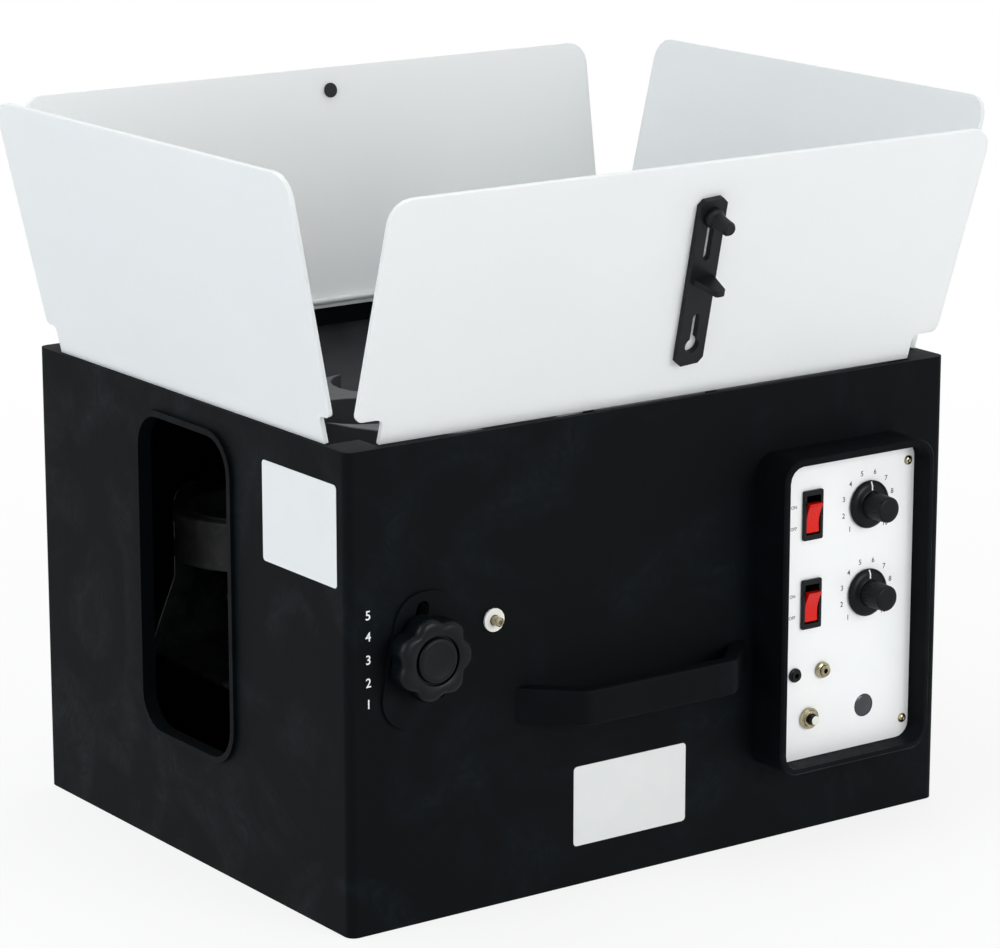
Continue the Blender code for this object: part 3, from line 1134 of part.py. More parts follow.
def dial(name, row, looks):
    """A potentiometer behind the plate and its skirted knob in front."""
    place = on_plate(DIAL_COLUMN, row)
    back = PLATE_BACK + GAP - PLATE_FRONT
    bushing, nut, shaft = POT_RADIUS / 2, POT_RADIUS * 0.75, 3 * MM
    nut_top, bushing_top = GAP + 2 * MM, GAP + 3 * MM
    shaft_top = DIAL_HEIGHT - 4 * MM
    pot = [(0, -back - POT_DEPTH), (POT_RADIUS, -back - POT_DEPTH), (POT_RADIUS, -back),
           (bushing, -back), (bushing, GAP), (nut, GAP), (nut, nut_top), (bushing, nut_top),
           (bushing, bushing_top), (shaft, bushing_top), (shaft, shaft_top), (0, shaft_top)]
    piece(f"{name}_pot", turned(pot, 12, place, OUTWARD), looks["zinc"])

    low = 0.8 * MM
    bore, room = shaft + GAP, nut + 1 * MM
    room_top = bushing_top + GAP
    profile = [(0, shaft_top + GAP), (bore, shaft_top + GAP), (bore, room_top), (room, room_top),
               (room, low), (SKIRT_RADIUS, low), (SKIRT_RADIUS, low + SKIRT_THICKNESS / 2),
               (SKIRT_RADIUS * 0.82, low + SKIRT_THICKNESS), (GRIP_RADIUS, low + SKIRT_THICKNESS),
               (GRIP_RADIUS * 0.95, DIAL_HEIGHT - 0.8 * MM), (GRIP_RADIUS * 0.85, DIAL_HEIGHT),
               (0, DIAL_HEIGHT)]
    knob = turned(profile, 24, place, OUTWARD)
    piece(f"{name}_dial", knob, looks["black"], pivot=place)


def jack(name, right, look, flange, reach):
    """A socket for a plug: a flange in front, its barrel through the plate, open at the front."""
    place = on_plate(right, -JACK_HEIGHT_BELOW)
    barrel, bore = jack_barrel(), 1.6 * MM
    behind = -PLATE_THICKNESS - 9 * MM
    profile = [(0, behind), (barrel, behind), (barrel, GAP), (flange, GAP), (flange, reach / 2),
               (barrel, reach / 2 + 0.6 * MM), (barrel, reach), (bore, reach), (bore, reach - 8 * MM),
               (0, reach - 8 * MM)]
    piece(name, turned(profile, 16, place, OUTWARD), look)


def reset_breaker(looks):
    """A circuit breaker whose button is pressed to reset it."""
    place = on_plate(SWITCH_COLUMN, -LOWEST_ROW)
    barrel, bore = breaker_barrel(), BUTTON_RADIUS + GAP
    ring_top, barrel_top, depth = GAP + 2.5 * MM, GAP + 4 * MM, BREAKER_DEPTH
    behind = -PLATE_THICKNESS - GAP
    profile = [(0, behind - depth), (barrel * 1.4, behind - depth), (barrel * 1.4, behind),
               (barrel, behind), (barrel, GAP), (BREAKER_RADIUS, GAP), (BREAKER_RADIUS, ring_top),
               (barrel, ring_top), (barrel, barrel_top), (bore, barrel_top), (bore, behind - depth / 2),
               (0, behind - depth / 2)]
    piece("reset_breaker", turned(profile, 24, place, OUTWARD), looks["steel"])
    bottom = behind - depth / 2 + GAP + BUTTON_TRAVEL
    button = [(0, bottom), (BUTTON_RADIUS, bottom), (BUTTON_RADIUS, BUTTON_REACH - 0.8 * MM),
              (BUTTON_RADIUS - 0.8 * MM, BUTTON_REACH), (0, BUTTON_REACH)]
    piece("reset_button", turned(button, 16, place, OUTWARD), looks["plate"], pivot=place)


def remote_sensor(looks):
    place = on_plate(DIAL_COLUMN, -LOWEST_ROW)
    behind = -PLATE_THICKNESS - 6 * MM
    profile = [(0, behind), (SENSOR_RADIUS, behind), (SENSOR_RADIUS, 0.4 * MM),
               (SENSOR_RADIUS * 0.8, 1 * MM), (0, 1.2 * MM)]
    piece("remote_sensor", turned(profile, 20, place, OUTWARD), looks["smoke"])


def circuit_board(looks):
    """The board that both potentiometers are soldered to."""
    near = PLATE_BACK + POT_DEPTH + 2 * GAP
    upper, lower = on_plate(DIAL_COLUMN, UPPER_ROW), on_plate(DIAL_COLUMN, LOWER_ROW)
    middle = (upper.x, (upper.z + lower.z) / 2)
    width = 2 * (POT_RADIUS + BOARD_MARGIN)
    height = upper.z - lower.z + 2 * BOARD_OVERHANG
    board = slab("xz", [rectangle(middle, width, height, 2 * MM, 2)], near, near + BOARD_THICKNESS)
    piece("circuit_board", board, looks["board"])


def controls(looks):
    control_plate(looks)
    for name, row in (("power", UPPER_ROW), ("oscillator", LOWER_ROW)):
        rocker_switch(name, row, looks)
    for name, row in (("speed", UPPER_ROW), ("feed", LOWER_ROW)):
        dial(name, row, looks)
    jack("black_jack", BLACK_JACK, looks["black"], 4.6 * MM, 3 * MM)
    jack("metal_jack", METAL_JACK, looks["steel"], 5.2 * MM, 5 * MM)
    reset_breaker(looks)
    remote_sensor(looks)
    circuit_board(looks)



def battery(looks):
    """A sealed battery on the base plate, held by a band that is screwed down on both sides."""
    right = RIGHT - WALL - BATTERY_FROM_RIGHT
    middle = (right - BATTERY_LENGTH / 2, BATTERY_OFFSET)
    low, high = BASE_THICKNESS + GAP, BASE_THICKNESS + GAP + BATTERY_HEIGHT
    case = slab("xy", [rectangle(middle, BATTERY_LENGTH, BATTERY_WIDTH, 3 * MM, 3)], low, high)
    terminals = [block((middle[0] + sign * BATTERY_LENGTH * 0.38 - 3 * MM, middle[1] - 3 * MM, high - WALL),
                       (middle[0] + sign * BATTERY_LENGTH * 0.38 + 3 * MM, middle[1] + 3 * MM,
                        high + 6 * MM)) for sign in (-1, 1)]
    piece("battery", case, looks["black"], joins=terminals)

    half = BATTERY_WIDTH / 2 + GAP
    foot = half + STRAP_BAND
    inner = [(-foot, low + BAND_THICKNESS), (-half - BAND_THICKNESS, low + BAND_THICKNESS),
             (-half - BAND_THICKNESS, high + GAP + BAND_THICKNESS),
             (half + BAND_THICKNESS, high + GAP + BAND_THICKNESS),
             (half + BAND_THICKNESS, low + BAND_THICKNESS), (foot, low + BAND_THICKNESS)]
    outer = [(foot, low), (half, low), (half, high + GAP), (-half, high + GAP), (-half, low),
             (-foot, low)]
    outline = [(u + middle[1], v) for u, v in inner + outer]
    band = slab("yz", [outline], middle[0] - STRAP_BAND / 2, middle[0] + STRAP_BAND / 2)
    piece("battery_band", band, looks["zinc"])


def looks_of_parts():
    return {
        "black": finish("black moulded plastic", (0.018, 0.021, 0.022), 0.5),
        "sheet": finish("white translucent sheet", (0.86, 0.88, 0.87), 0.35),
        "plate": finish("white painted aluminium", (0.85, 0.86, 0.86), 0.4),
        "grey": finish("grey moulded plastic", (0.2, 0.21, 0.22), 0.5),
        "nylon": finish("white nylon", (0.8, 0.82, 0.78), 0.4),
        "rubber": finish("rubber", (0.03, 0.03, 0.03), 0.8),
        "red": finish("red moulded plastic", (0.75, 0.05, 0.02), 0.3),
        "smoke": finish("smoked lens", (0.03, 0.035, 0.045), 0.15),
        "board": finish("circuit board", (0.02, 0.12, 0.05), 0.5),
        "zinc": finish("zinc-plated steel", (0.55, 0.56, 0.58), 0.35, 1.0),
        "steel": finish("nickel-plated steel", (0.66, 0.64, 0.58), 0.22, 1.0),
    }


def main():
    clear_scene()
    looks = looks_of_parts()
    housing(looks["black"])
    base_plate(looks["black"])
    hopper_floor(looks["black"])
    hopper(looks)
    feed(looks)
    cradle(looks)
    throwing_head(looks)
    oscillator(looks)
    elevation_knob(looks)
    controls(looks)
    battery(looks)
    x, z = arm_point(KNOB_ANGLE)
    print(f"knob stud at x {x / MM:.1f} mm, z {z / MM:.1f} mm, tilt {degrees(TILT_LIMIT):.0f} degrees")


main()
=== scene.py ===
import math

import bmesh
import bpy
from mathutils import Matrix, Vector


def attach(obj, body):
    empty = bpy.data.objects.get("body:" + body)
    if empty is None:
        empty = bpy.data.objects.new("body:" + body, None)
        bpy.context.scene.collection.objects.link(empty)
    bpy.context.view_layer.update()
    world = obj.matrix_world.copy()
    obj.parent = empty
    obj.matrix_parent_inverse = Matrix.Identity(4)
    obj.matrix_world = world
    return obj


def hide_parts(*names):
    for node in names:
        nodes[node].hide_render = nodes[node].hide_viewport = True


# A portable tennis ball machine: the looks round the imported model. Lengths are in millimetres where
# a name or a dictionary holds them, and mm turns them into metres.
mm = 0.001
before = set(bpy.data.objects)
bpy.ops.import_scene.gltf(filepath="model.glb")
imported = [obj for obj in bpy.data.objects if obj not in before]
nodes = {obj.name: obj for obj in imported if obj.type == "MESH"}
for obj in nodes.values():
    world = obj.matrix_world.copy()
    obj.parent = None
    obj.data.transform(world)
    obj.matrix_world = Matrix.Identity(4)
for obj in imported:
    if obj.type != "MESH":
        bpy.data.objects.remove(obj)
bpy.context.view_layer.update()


def linear(hexColour):
    channels = [int(hexColour[i:i + 2], 16) / 255 for i in (1, 3, 5)]
    return [c / 12.92 if c <= 0.04045 else ((c + 0.055) / 1.055) ** 2.4 for c in channels] + [1.0]


def addNode(tree, kind, settings=None, links=None):
    node = tree.nodes.new(kind)
    for key, value in (settings or {}).items():
        if key in node.inputs:
            node.inputs[key].default_value = value
        else:
            setattr(node, key, value)
    for key, source in (links or {}).items():
        tree.links.new(source, node.inputs[key])
    return node


def newMaterial(name, colour, roughness, metallic=0.0):
    material = bpy.data.materials.new(name)
    material.use_nodes = True
    shader = material.node_tree.nodes["Principled BSDF"]
    shader.inputs["Base Color"].default_value = linear(colour)
    shader.inputs["Roughness"].default_value = roughness
    shader.inputs["Metallic"].default_value = metallic
    return material, material.node_tree, shader


def ramp(tree, source, low, high, start=0.0, end=1.0):
    node = addNode(tree, "ShaderNodeMapRange",
                   {"From Min": start, "From Max": end, "To Min": low, "To Max": high},
                   {"Value": source})
    return node.outputs["Result"]


def blendColours(tree, factor, first, second):
    node = addNode(tree, "ShaderNodeMix", {"data_type": "RGBA"})
    node.inputs[6].default_value = linear(first)
    node.inputs[7].default_value = linear(second)
    tree.links.new(factor, node.inputs[0])
    return node.outputs[2]


def noise(tree, place, sizeMm, detail=3.0, distortion=0.0, roughness=0.5):
    node = addNode(tree, "ShaderNodeTexNoise",
                   {"Scale": 1 / (sizeMm * mm), "Detail": detail, "Distortion": distortion,
                    "Roughness": roughness}, {"Vector": place})
    return node.outputs["Fac"]


def bump(tree, shader, height, depthMm, strength=1.0, before=None):
    node = addNode(tree, "ShaderNodeBump", {"Distance": depthMm * mm, "Strength": strength},
                   {"Height": height})
    if before:
        tree.links.new(before, node.inputs["Normal"])
    tree.links.new(node.outputs["Normal"], shader.inputs["Normal"])
    return node.outputs["Normal"]


def objectPlace(tree):
    return addNode(tree, "ShaderNodeTexCoord").outputs["Object"]


def makeFoamPlastic():
    # Structural foam: the gas leaves pale swirls on the skin, and the tool a fine grain.
    material, tree, shader = newMaterial("structuralFoamPlastic", "#05090c", 0.6)
    shader.inputs["Specular IOR Level"].default_value = 0.06
    place = objectPlace(tree)
    swirl = noise(tree, place, 85, 7, 1.6, 0.55)
    streak = noise(tree, place, 24, 6, 3.6, 0.6)
    both = addNode(tree, "ShaderNodeMath", {"operation": "MULTIPLY"})
    tree.links.new(ramp(tree, swirl, 0, 1, 0.46, 0.68), both.inputs[0])
    tree.links.new(ramp(tree, streak, 0.3, 1, 0.4, 0.66), both.inputs[1])
    colour = blendColours(tree, both.outputs[0], "#05080a", "#0c1317")
    tree.links.new(colour, shader.inputs["Base Color"])
    tree.links.new(ramp(tree, both.outputs[0], 0.62, 0.48), shader.inputs["Roughness"])
    waves = bump(tree, shader, streak, 0.35, 0.35)
    bump(tree, shader, noise(tree, place, 0.9, 2), 0.06, 0.35, waves)
    return material


def makeTranslucentSheet():
    # Extruded polypropylene: milky, lit through, with a faint orange peel.
    material, tree, shader = newMaterial("milkyPolypropylene", "#f1f4f4", 0.42)
    place = objectPlace(tree)
    cloud = noise(tree, place, 120, 2)
    tree.links.new(blendColours(tree, cloud, "#eef2f3", "#f5f7f5"), shader.inputs["Base Color"])
    shader.inputs["Subsurface Weight"].default_value = 0.35
    shader.inputs["Subsurface Radius"].default_value = (1.0, 1.0, 0.95)
    shader.inputs["Subsurface Scale"].default_value = 0.006
    shader.inputs["Transmission Weight"].default_value = 0.22
    shader.inputs["IOR"].default_value = 1.49
    bump(tree, shader, noise(tree, place, 4.5, 2), 0.05, 0.25)
    return material


def makeCoatedPlate():
    # White powder-coated sheet aluminium with a slight peel.
    material, tree, shader = newMaterial("whitePowderCoat", "#f2f4f4", 0.38)
    place = objectPlace(tree)
    tree.links.new(blendColours(tree, noise(tree, place, 30, 3), "#eef1f1", "#f6f7f7"),
                   shader.inputs["Base Color"])
    bump(tree, shader, noise(tree, place, 0.7, 2), 0.02, 0.3)
    return material


def makeMoulded(name, dark, pale, roughness, grainMm, depthMm=0.03, gloss=0.5):
    # Injection-moulded plastic: even colour, a fine spark-eroded grain, slightly polished patches.
    material, tree, shader = newMaterial(name, dark, roughness)
    shader.inputs["Specular IOR Level"].default_value = gloss
    place = objectPlace(tree)
    patches = noise(tree, place, 18, 4)
    tree.links.new(blendColours(tree, patches, dark, pale), shader.inputs["Base Color"])
    tree.links.new(ramp(tree, patches, roughness - 0.07, roughness + 0.07, 0.3, 0.7),
                   shader.inputs["Roughness"])
    bump(tree, shader, noise(tree, place, grainMm, 2), depthMm, 0.4)
    return material


def makeMetal(name, dark, pale, roughness, patchMm):
    # Plated steel: passivation patches, and fine drawing lines in the surface.
    material, tree, shader = newMaterial(name, pale, roughness, 1.0)
    place = objectPlace(tree)
    patches = noise(tree, place, patchMm, 5, 0.6)
    tree.links.new(blendColours(tree, ramp(tree, patches, 0, 1, 0.35, 0.65), dark, pale),
                   shader.inputs["Base Color"])
    tree.links.new(ramp(tree, patches, roughness - 0.08, roughness + 0.1, 0.3, 0.7),
                   shader.inputs["Roughness"])
    stretched = addNode(tree, "ShaderNodeMapping", {"Scale": (1.0, 1.0, 14.0)}, {"Vector": place})
    bump(tree, shader, noise(tree, stretched.outputs["Vector"], 5, 3), 0.015, 0.3)
    return material


def makeTyreRubber():
    # Polyurethane-filled rubber, dusted with yellow-grey felt where balls rub it.
    material, tree, shader = newMaterial("wheelRubber", "#161718", 0.78)
    place = objectPlace(tree)
    dust = noise(tree, place, 9, 6, 0.8)
    tree.links.new(blendColours(tree, ramp(tree, dust, 0, 0.5, 0.45, 0.75), "#141516", "#36352b"),
                   shader.inputs["Base Color"])
    bump(tree, shader, noise(tree, place, 1.2, 3), 0.12, 0.5)
    return material


def makeCircuitBoard():
    # Solder-masked glass laminate: lighter tracks on green.
    material, tree, shader = newMaterial("solderMask", "#12502c", 0.35)
    place = objectPlace(tree)
    cells = addNode(tree, "ShaderNodeTexVoronoi",
                    {"distance": "MANHATTAN", "Scale": 1 / (6 * mm)}, {"Vector": place})
    tree.links.new(blendColours(tree, ramp(tree, cells.outputs["Distance"], 0, 1, 0.3, 0.36),
                                "#0f4426", "#2a7a45"), shader.inputs["Base Color"])
    return material


def makeInk(name, colour):
    # Screen-printed ink: nearly flat, with slightly uneven cover.
    material, tree, shader = newMaterial(name, colour, 0.5)
    place = objectPlace(tree)
    bump(tree, shader, noise(tree, place, 0.3, 2), 0.01, 0.3)
    return material


foamPlastic = makeFoamPlastic()
sheetPlastic = makeTranslucentSheet()
coatedPlate = makeCoatedPlate()
blackNylon = makeMoulded("glassFilledNylon", "#0c0f11", "#13171a", 0.46, 0.5, 0.03, 0.2)
knobPlastic = makeMoulded("phenolicKnob", "#04080a", "#080d0f", 0.36, 0.4, 0.015, 0.15)
glossBlack = makeMoulded("polishedBlackPlastic", "#050608", "#0a0c0e", 0.28, 0.5, 0.01, 0.2)
greyPlastic = makeMoulded("greyPolypropylene", "#3b3e40", "#484b4d", 0.5, 0.8)
redPlastic = makeMoulded("redPolycarbonate", "#cc0b03", "#de1907", 0.26, 0.6, 0.008, 0.25)
naturalNylon = makeMoulded("naturalNylon", "#d9dbd2", "#e8e9e2", 0.42, 0.6)
smokedLens = makeMoulded("smokedLens", "#24262c", "#30333b", 0.12, 2.0, 0.004)
batteryCase = makeMoulded("batteryCaseAbs", "#222426", "#2c2f31", 0.48, 0.6)
zincPlate = makeMetal("clearZincPlate", "#63676a", "#8a8e91", 0.4, 12)
nickelPlate = makeMetal("nickelPlate", "#7d7660", "#bdb498", 0.2, 8)
wheelRubber = makeTyreRubber()
solderMask = makeCircuitBoard()
whiteInk = makeInk("whiteScreenInk", "#e9ebea")
greyInk = makeInk("greyScreenInk", "#2c2f32")
labelVinyl = makeMoulded("blankLabelVinyl", "#dcdfde", "#e4e6e5", 0.4, 1.5, 0.01)
print("materials made:", len(bpy.data.materials))


# Edges that turn by more than this many degrees stay sharp and get a small round.
sharpAngle = 33


def softenNode(name, edgeMm):
    item = nodes[name]
    weld = item.modifiers.new("weld", "WELD")
    weld.merge_threshold = 0.00001
    if edgeMm:
        flatten = item.modifiers.new("flatten", "DECIMATE")
        flatten.decimate_type = "DISSOLVE"
        flatten.angle_limit = math.radians(0.6)
    shade = item.modifiers.new("shade", "NODES")
    shade.node_group = smoothByAngle()
    if edgeMm:
        edge = item.modifiers.new("edge", "BEVEL")
        edge.width = edgeMm * mm
        edge.segments = 2
        edge.limit_method = "ANGLE"
        edge.angle_limit = math.radians(sharpAngle)
        edge.use_clamp_overlap = True
        flat = item.modifiers.new("flatFaces", "WEIGHTED_NORMAL")
        flat.mode = "FACE_AREA"
        flat.keep_sharp = True
        flat.weight = 90


def smoothByAngle():
    group = bpy.data.node_groups.get("shadeByAngle")
    if group:
        return group
    group = bpy.data.node_groups.new("shadeByAngle", "GeometryNodeTree")
    group.interface.new_socket("Geometry", in_out="INPUT", socket_type="NodeSocketGeometry")
    group.interface.new_socket("Geometry", in_out="OUTPUT", socket_type="NodeSocketGeometry")
    start = addNode(group, "NodeGroupInput")
    angle = addNode(group, "GeometryNodeInputMeshEdgeAngle")
    sharp = addNode(group, "FunctionNodeCompare",
                    {"data_type": "FLOAT", "operation": "LESS_THAN"})
    sharp.inputs[1].default_value = math.radians(sharpAngle)
    group.links.new(angle.outputs["Unsigned Angle"], sharp.inputs[0])
    faces = addNode(group, "GeometryNodeSetShadeSmooth", {"domain": "FACE"},
                    {"Geometry": start.outputs[0]})
    edges = addNode(group, "GeometryNodeSetShadeSmooth", {"domain": "EDGE"},
                    {"Geometry": faces.outputs[0]})
    group.links.new(sharp.outputs[0], edges.inputs["Shade Smooth"])
    end = addNode(group, "NodeGroupOutput")
    group.links.new(edges.outputs[0], end.inputs[0])
    return group


def paint(item, material):
    item.data.materials.clear()
    item.data.materials.append(material)
    return item


nodeLooks = {
    "housing": (foamPlastic, 0.9), "base_plate": (blackNylon, 0.5), "hopper_floor": (blackNylon, 0.6),
    "front_panel": (sheetPlastic, 0.35), "back_panel": (sheetPlastic, 0.35),
    "left_panel": (sheetPlastic, 0.35), "right_panel": (sheetPlastic, 0.35),
    "front_hinge_rod": (nickelPlate, 0), "back_hinge_rod": (nickelPlate, 0),
    "left_hinge_rod": (nickelPlate, 0), "right_hinge_rod": (nickelPlate, 0),
    "latch_strap": (blackNylon, 0.5), "latch_knob": (blackNylon, 0.4), "catch_stud": (blackNylon, 0.3),
    "feed_rotor": (greyPlastic, 0.8), "feed_gearmotor": (zincPlate, 0.4),
    "tilt_cradle": (zincPlate, 0.4), "elevation_nut": (zincPlate, 0.3),
    "elevation_stud": (nickelPlate, 0), "pivot_pin_front": (nickelPlate, 0),
    "pivot_pin_back": (nickelPlate, 0), "pivot_bushing_front": (naturalNylon, 0.2),
    "pivot_bushing_back": (naturalNylon, 0.2), "yaw_post": (zincPlate, 0.3),
    "oscillator_gearmotor": (zincPlate, 0.4), "oscillator_crank": (zincPlate, 0.3),
    "oscillator_link": (zincPlate, 0.3), "oscillator_rivet": (nickelPlate, 0),
    "head_plate": (zincPlate, 0.3), "ball_guide": (blackNylon, 0.3),
    "throw_motor_front": (zincPlate, 0), "throw_motor_back": (zincPlate, 0),
    "throw_hub_front": (greyPlastic, 0.4), "throw_hub_back": (greyPlastic, 0.4),
    "throw_tyre_front": (wheelRubber, 0.5), "throw_tyre_back": (wheelRubber, 0.5),
    "control_plate": (coatedPlate, 0), "power_switch": (glossBlack, 0.3),
    "oscillator_switch": (glossBlack, 0.3), "speed_pot": (zincPlate, 0), "feed_pot": (zincPlate, 0),
    "black_jack": (glossBlack, 0.15), "metal_jack": (nickelPlate, 0.15),
    "reset_breaker": (nickelPlate, 0.2), "reset_button": (glossBlack, 0.2),
    "remote_sensor": (smokedLens, 0), "circuit_board": (solderMask, 0),
    "battery": (batteryCase, 1.0), "battery_band": (zincPlate, 0.2),
}
for nodeName, (material, edgeMm) in nodeLooks.items():
    paint(nodes[nodeName], material)
    softenNode(nodeName, edgeMm)
print("CAD nodes dressed:", len(nodeLooks))


def meshObject(name, points, faces, material, body, smoothAngle=35):
    mesh = bpy.data.meshes.new(name)
    mesh.from_pydata([tuple(p) for p in points], [], faces)
    build = bmesh.new()
    build.from_mesh(mesh)
    bmesh.ops.recalc_face_normals(build, faces=build.faces)
    build.to_mesh(mesh)
    build.free()
    mesh.shade_smooth()
    mesh.set_sharp_from_angle(angle=math.radians(smoothAngle))
    item = bpy.data.objects.new(name, mesh)
    bpy.context.scene.collection.objects.link(item)
    item.data.materials.append(material)
    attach(item, body)
    return item


def ringFaces(ringCount, around):
    faces = []
    for ring in range(ringCount - 1):
        for i in range(around):
            j = (i + 1) % around
            faces.append((ring * around + i, ring * around + j,
                          (ring + 1) * around + j, (ring + 1) * around + i))
    faces.append(tuple(range(around)))
    faces.append(tuple(range((ringCount - 1) * around, ringCount * around)))
    return faces


# Across the front: u to the right, v up, out towards the viewer.
def onFront(centre, u, v, out):
    return Vector((centre[0] + u, centre[1] - out, centre[2] + v))


def lathed(name, centre, profile, steps, material, body, radiusAt=None):
    points = []
    for radius, out in profile:
        for step in range(steps):
            angle = 2 * math.pi * step / steps
            reach = radius if radiusAt is None else radiusAt(radius, angle, out)
            points.append(onFront(centre, reach * math.cos(angle) * mm,
                                  reach * math.sin(angle) * mm, out * mm))
    return meshObject(name, points, ringFaces(len(profile), steps), material, body)


def flatOutline(name, centre, outline, low, high, material, body):
    points = [onFront(centre, u * mm, v * mm, out * mm) for out in (low, high) for u, v in outline]
    return meshObject(name, points, ringFaces(2, len(outline)), material, body)


def roundedOutline(width, height, radius, steps=5):
    points = []
    for signX, signY, start in ((1, 1, 0), (-1, 1, 90), (-1, -1, 180), (1, -1, 270)):
        for step in range(steps + 1):
            angle = math.radians(start + 90 * step / steps)
            points.append((signX * (width / 2 - radius) + radius * math.cos(angle),
                           signY * (height / 2 - radius) + radius * math.sin(angle)))
    return points


# A capital's height as a share of the font's size.
capitalShare = 0.7


def addText(name, words, centre, sizeMm, material):
    curve = bpy.data.curves.new(name, "FONT")
    curve.body = words
    curve.size = sizeMm * mm / capitalShare
    curve.align_x = "CENTER"
    curve.align_y = "CENTER"
    curve.extrude = 0.05 * mm
    curve.offset = sizeMm * mm * 0.012
    curve.resolution_u = 4
    item = bpy.data.objects.new(name, curve)
    item.location = centre
    item.rotation_euler = (math.radians(90), 0, 0)
    bpy.context.scene.collection.objects.link(item)
    item.data.materials.append(material)
    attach(item, "frame")
    return item


# Where the outer faces lie: the wall and the control plate towards -y, the left side towards -x.
frontWall, plateFront, leftWall = -180.5, -195.5, -228.5
knob = {"x": -177.957, "y": -182.8, "z": 168.036, "radius": 26.2, "lobes": 7, "depth": 3.1,
        "thickness": 17.0, "disc": 13.5}


def lobeRadius(radius, angle, out):
    wave = (1 - math.cos(knob["lobes"] * angle)) / 2
    share = min(1.0, max(0.0, (radius - 19.0) / 4.0))
    return radius - knob["depth"] * wave ** 1.6 * share


def makeElevationKnob():
    centre = (knob["x"] * mm, knob["y"] * mm, knob["z"] * mm)
    rim = knob["radius"]
    top = knob["thickness"]
    profile = [(8, 0.2), (rim - 5, 0.2), (rim - 1.8, 0.8), (rim - 0.5, 2.2), (rim, 4.2), (rim, 12.6),
               (rim - 0.5, 14.6), (rim - 1.7, 16.0), (rim - 3.4, 16.8), (rim - 5.2, top),
               (knob["disc"] + 2.6, top), (knob["disc"] + 1.8, top - 0.5),
               (knob["disc"] + 1.5, top - 2.4), (knob["disc"] + 0.5, top - 2.4),
               (knob["disc"] + 0.2, top - 0.4), (knob["disc"] - 0.5, top + 0.5),
               (knob["disc"] - 1.4, top + 0.8), (knob["disc"] - 3.2, top + 0.6),
               (knob["disc"] - 4.4, top + 0.3), (3.0, top + 0.2)]
    body = lathed("elevationKnob", centre, profile, 140, knobPlastic, "clamp_knob", lobeRadius)
    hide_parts("elevation_knob")


dial = {"x": 153.45, "y": plateFront, "zs": {"speed": 212.75, "feed": 155.25}, "skirt": 15.4,
        "grip": 8.6, "height": 21.0, "ribs": 36, "numbers": 20.6}


def gripRadius(radius, angle, out):
    if 4.6 < out < 19.4 and radius < 9:
        return radius - 0.32 * (0.5 - 0.5 * math.cos(dial["ribs"] * angle))
    return radius


skirt = {"top": 4.05, "slope": 0.48, "coneStart": 12.4, "end": 14.9, "start": 9.2}


def slopedMark(name, centre, outline, material, body):
    # A painted line that follows the skirt's cone, a little proud of it.
    def coneTop(up):
        return skirt["top"] - skirt["slope"] * max(0.0, up - skirt["coneStart"])

    points = [onFront(centre, u * mm, v * mm, (coneTop(v) + lift) * mm)
              for lift in (-0.3, 0.1) for u, v in outline]
    return meshObject(name, points, ringFaces(2, len(outline)), material, body)


def makeDial(name, z):
    centre = (dial["x"] * mm, dial["y"] * mm, z * mm)
    profile = [(9.5, 0.8), (15.0, 0.8), (15.4, 1.1), (15.4, 2.2), (15.1, 2.7), (12.8, 3.8),
               (12.0, 4.0), (9.6, 4.1), (8.75, 4.4), (8.6, 5.2), (8.3, 19.0), (8.1, 20.2),
               (7.6, 20.8), (6.9, 21.0), (3.0, 21.0)]
    body = lathed(name + "Dial", centre, profile, 216, knobPlastic, name + "_control", gripRadius)
    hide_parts(name + "_dial")
    near, bend, far = skirt["start"], skirt["coneStart"], skirt["end"]
    sideLine = [(-0.5, near), (0.5, near), (0.5, bend), (0.5, far), (-0.5, far), (-0.5, bend)]
    mark = slopedMark(name + "SkirtMark", centre, sideLine, whiteInk, name + "_control")


def makeDialNumbers(name, z):
    for number in range(1, 11):
        angle = math.radians(225 - 30 * (number - 1))
        place = onFront((dial["x"] * mm, dial["y"] * mm, z * mm),
                        dial["numbers"] * math.cos(angle) * mm,
                        dial["numbers"] * math.sin(angle) * mm, 0.02 * mm)
        text = addText(f"{name}Number{number}", str(number), place, 3.3, greyInk)


rocker = {"x": 107.45, "pivotY": -191.0, "zs": {"power": 212.75, "oscillator": 155.25},
          "width": 10.3, "length": 20.0, "tip": 12.0, "face": 8.4, "bow": 1.9,
          "back": [(3.4, 0.88), (2.4, 0.5), (2.4, -0.5), (3.4, -0.88)]}


def makeRocker(name, z):
    half = rocker["length"] / 2
    section = []
    for step in range(13):
        along = -half + rocker["length"] * step / 12
        bow = rocker["bow"] * (1 - (along / half) ** 2)
        section.append((rocker["face"] - bow, along))
    section += [(out, half * share) for out, share in rocker["back"]]
    tip = math.radians(rocker["tip"])
    points = []
    for side in (-1, 1):
        for out, up in section:
            turned = (out * math.cos(tip) + up * math.sin(tip),
                      up * math.cos(tip) - out * math.sin(tip))
            points.append(Vector(((rocker["x"] + side * rocker["width"] / 2) * mm,
                                  (rocker["pivotY"] - turned[0]) * mm, (z + turned[1]) * mm)))
    body = meshObject(name + "Rocker", points, ringFaces(2, len(section)), redPlastic,
                      name + "_button", 30)
    edge = body.modifiers.new("edge", "BEVEL")
    edge.width = 0.35 * mm
    edge.segments = 2
    edge.limit_method = "ANGLE"
    edge.angle_limit = math.radians(40)
    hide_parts(name + "_rocker")


def makeSwitchWords(name, z):
    for words, rise in (("ON", 6.2), ("OFF", -7.6)):
        place = (93.2 * mm, (plateFront - 0.02) * mm, (z + rise) * mm)
        text = addText(name + words.title(), words, place, 2.1, greyInk)


screw = {"places": [(185.9, 236.5), (185.9, 66.0)]}


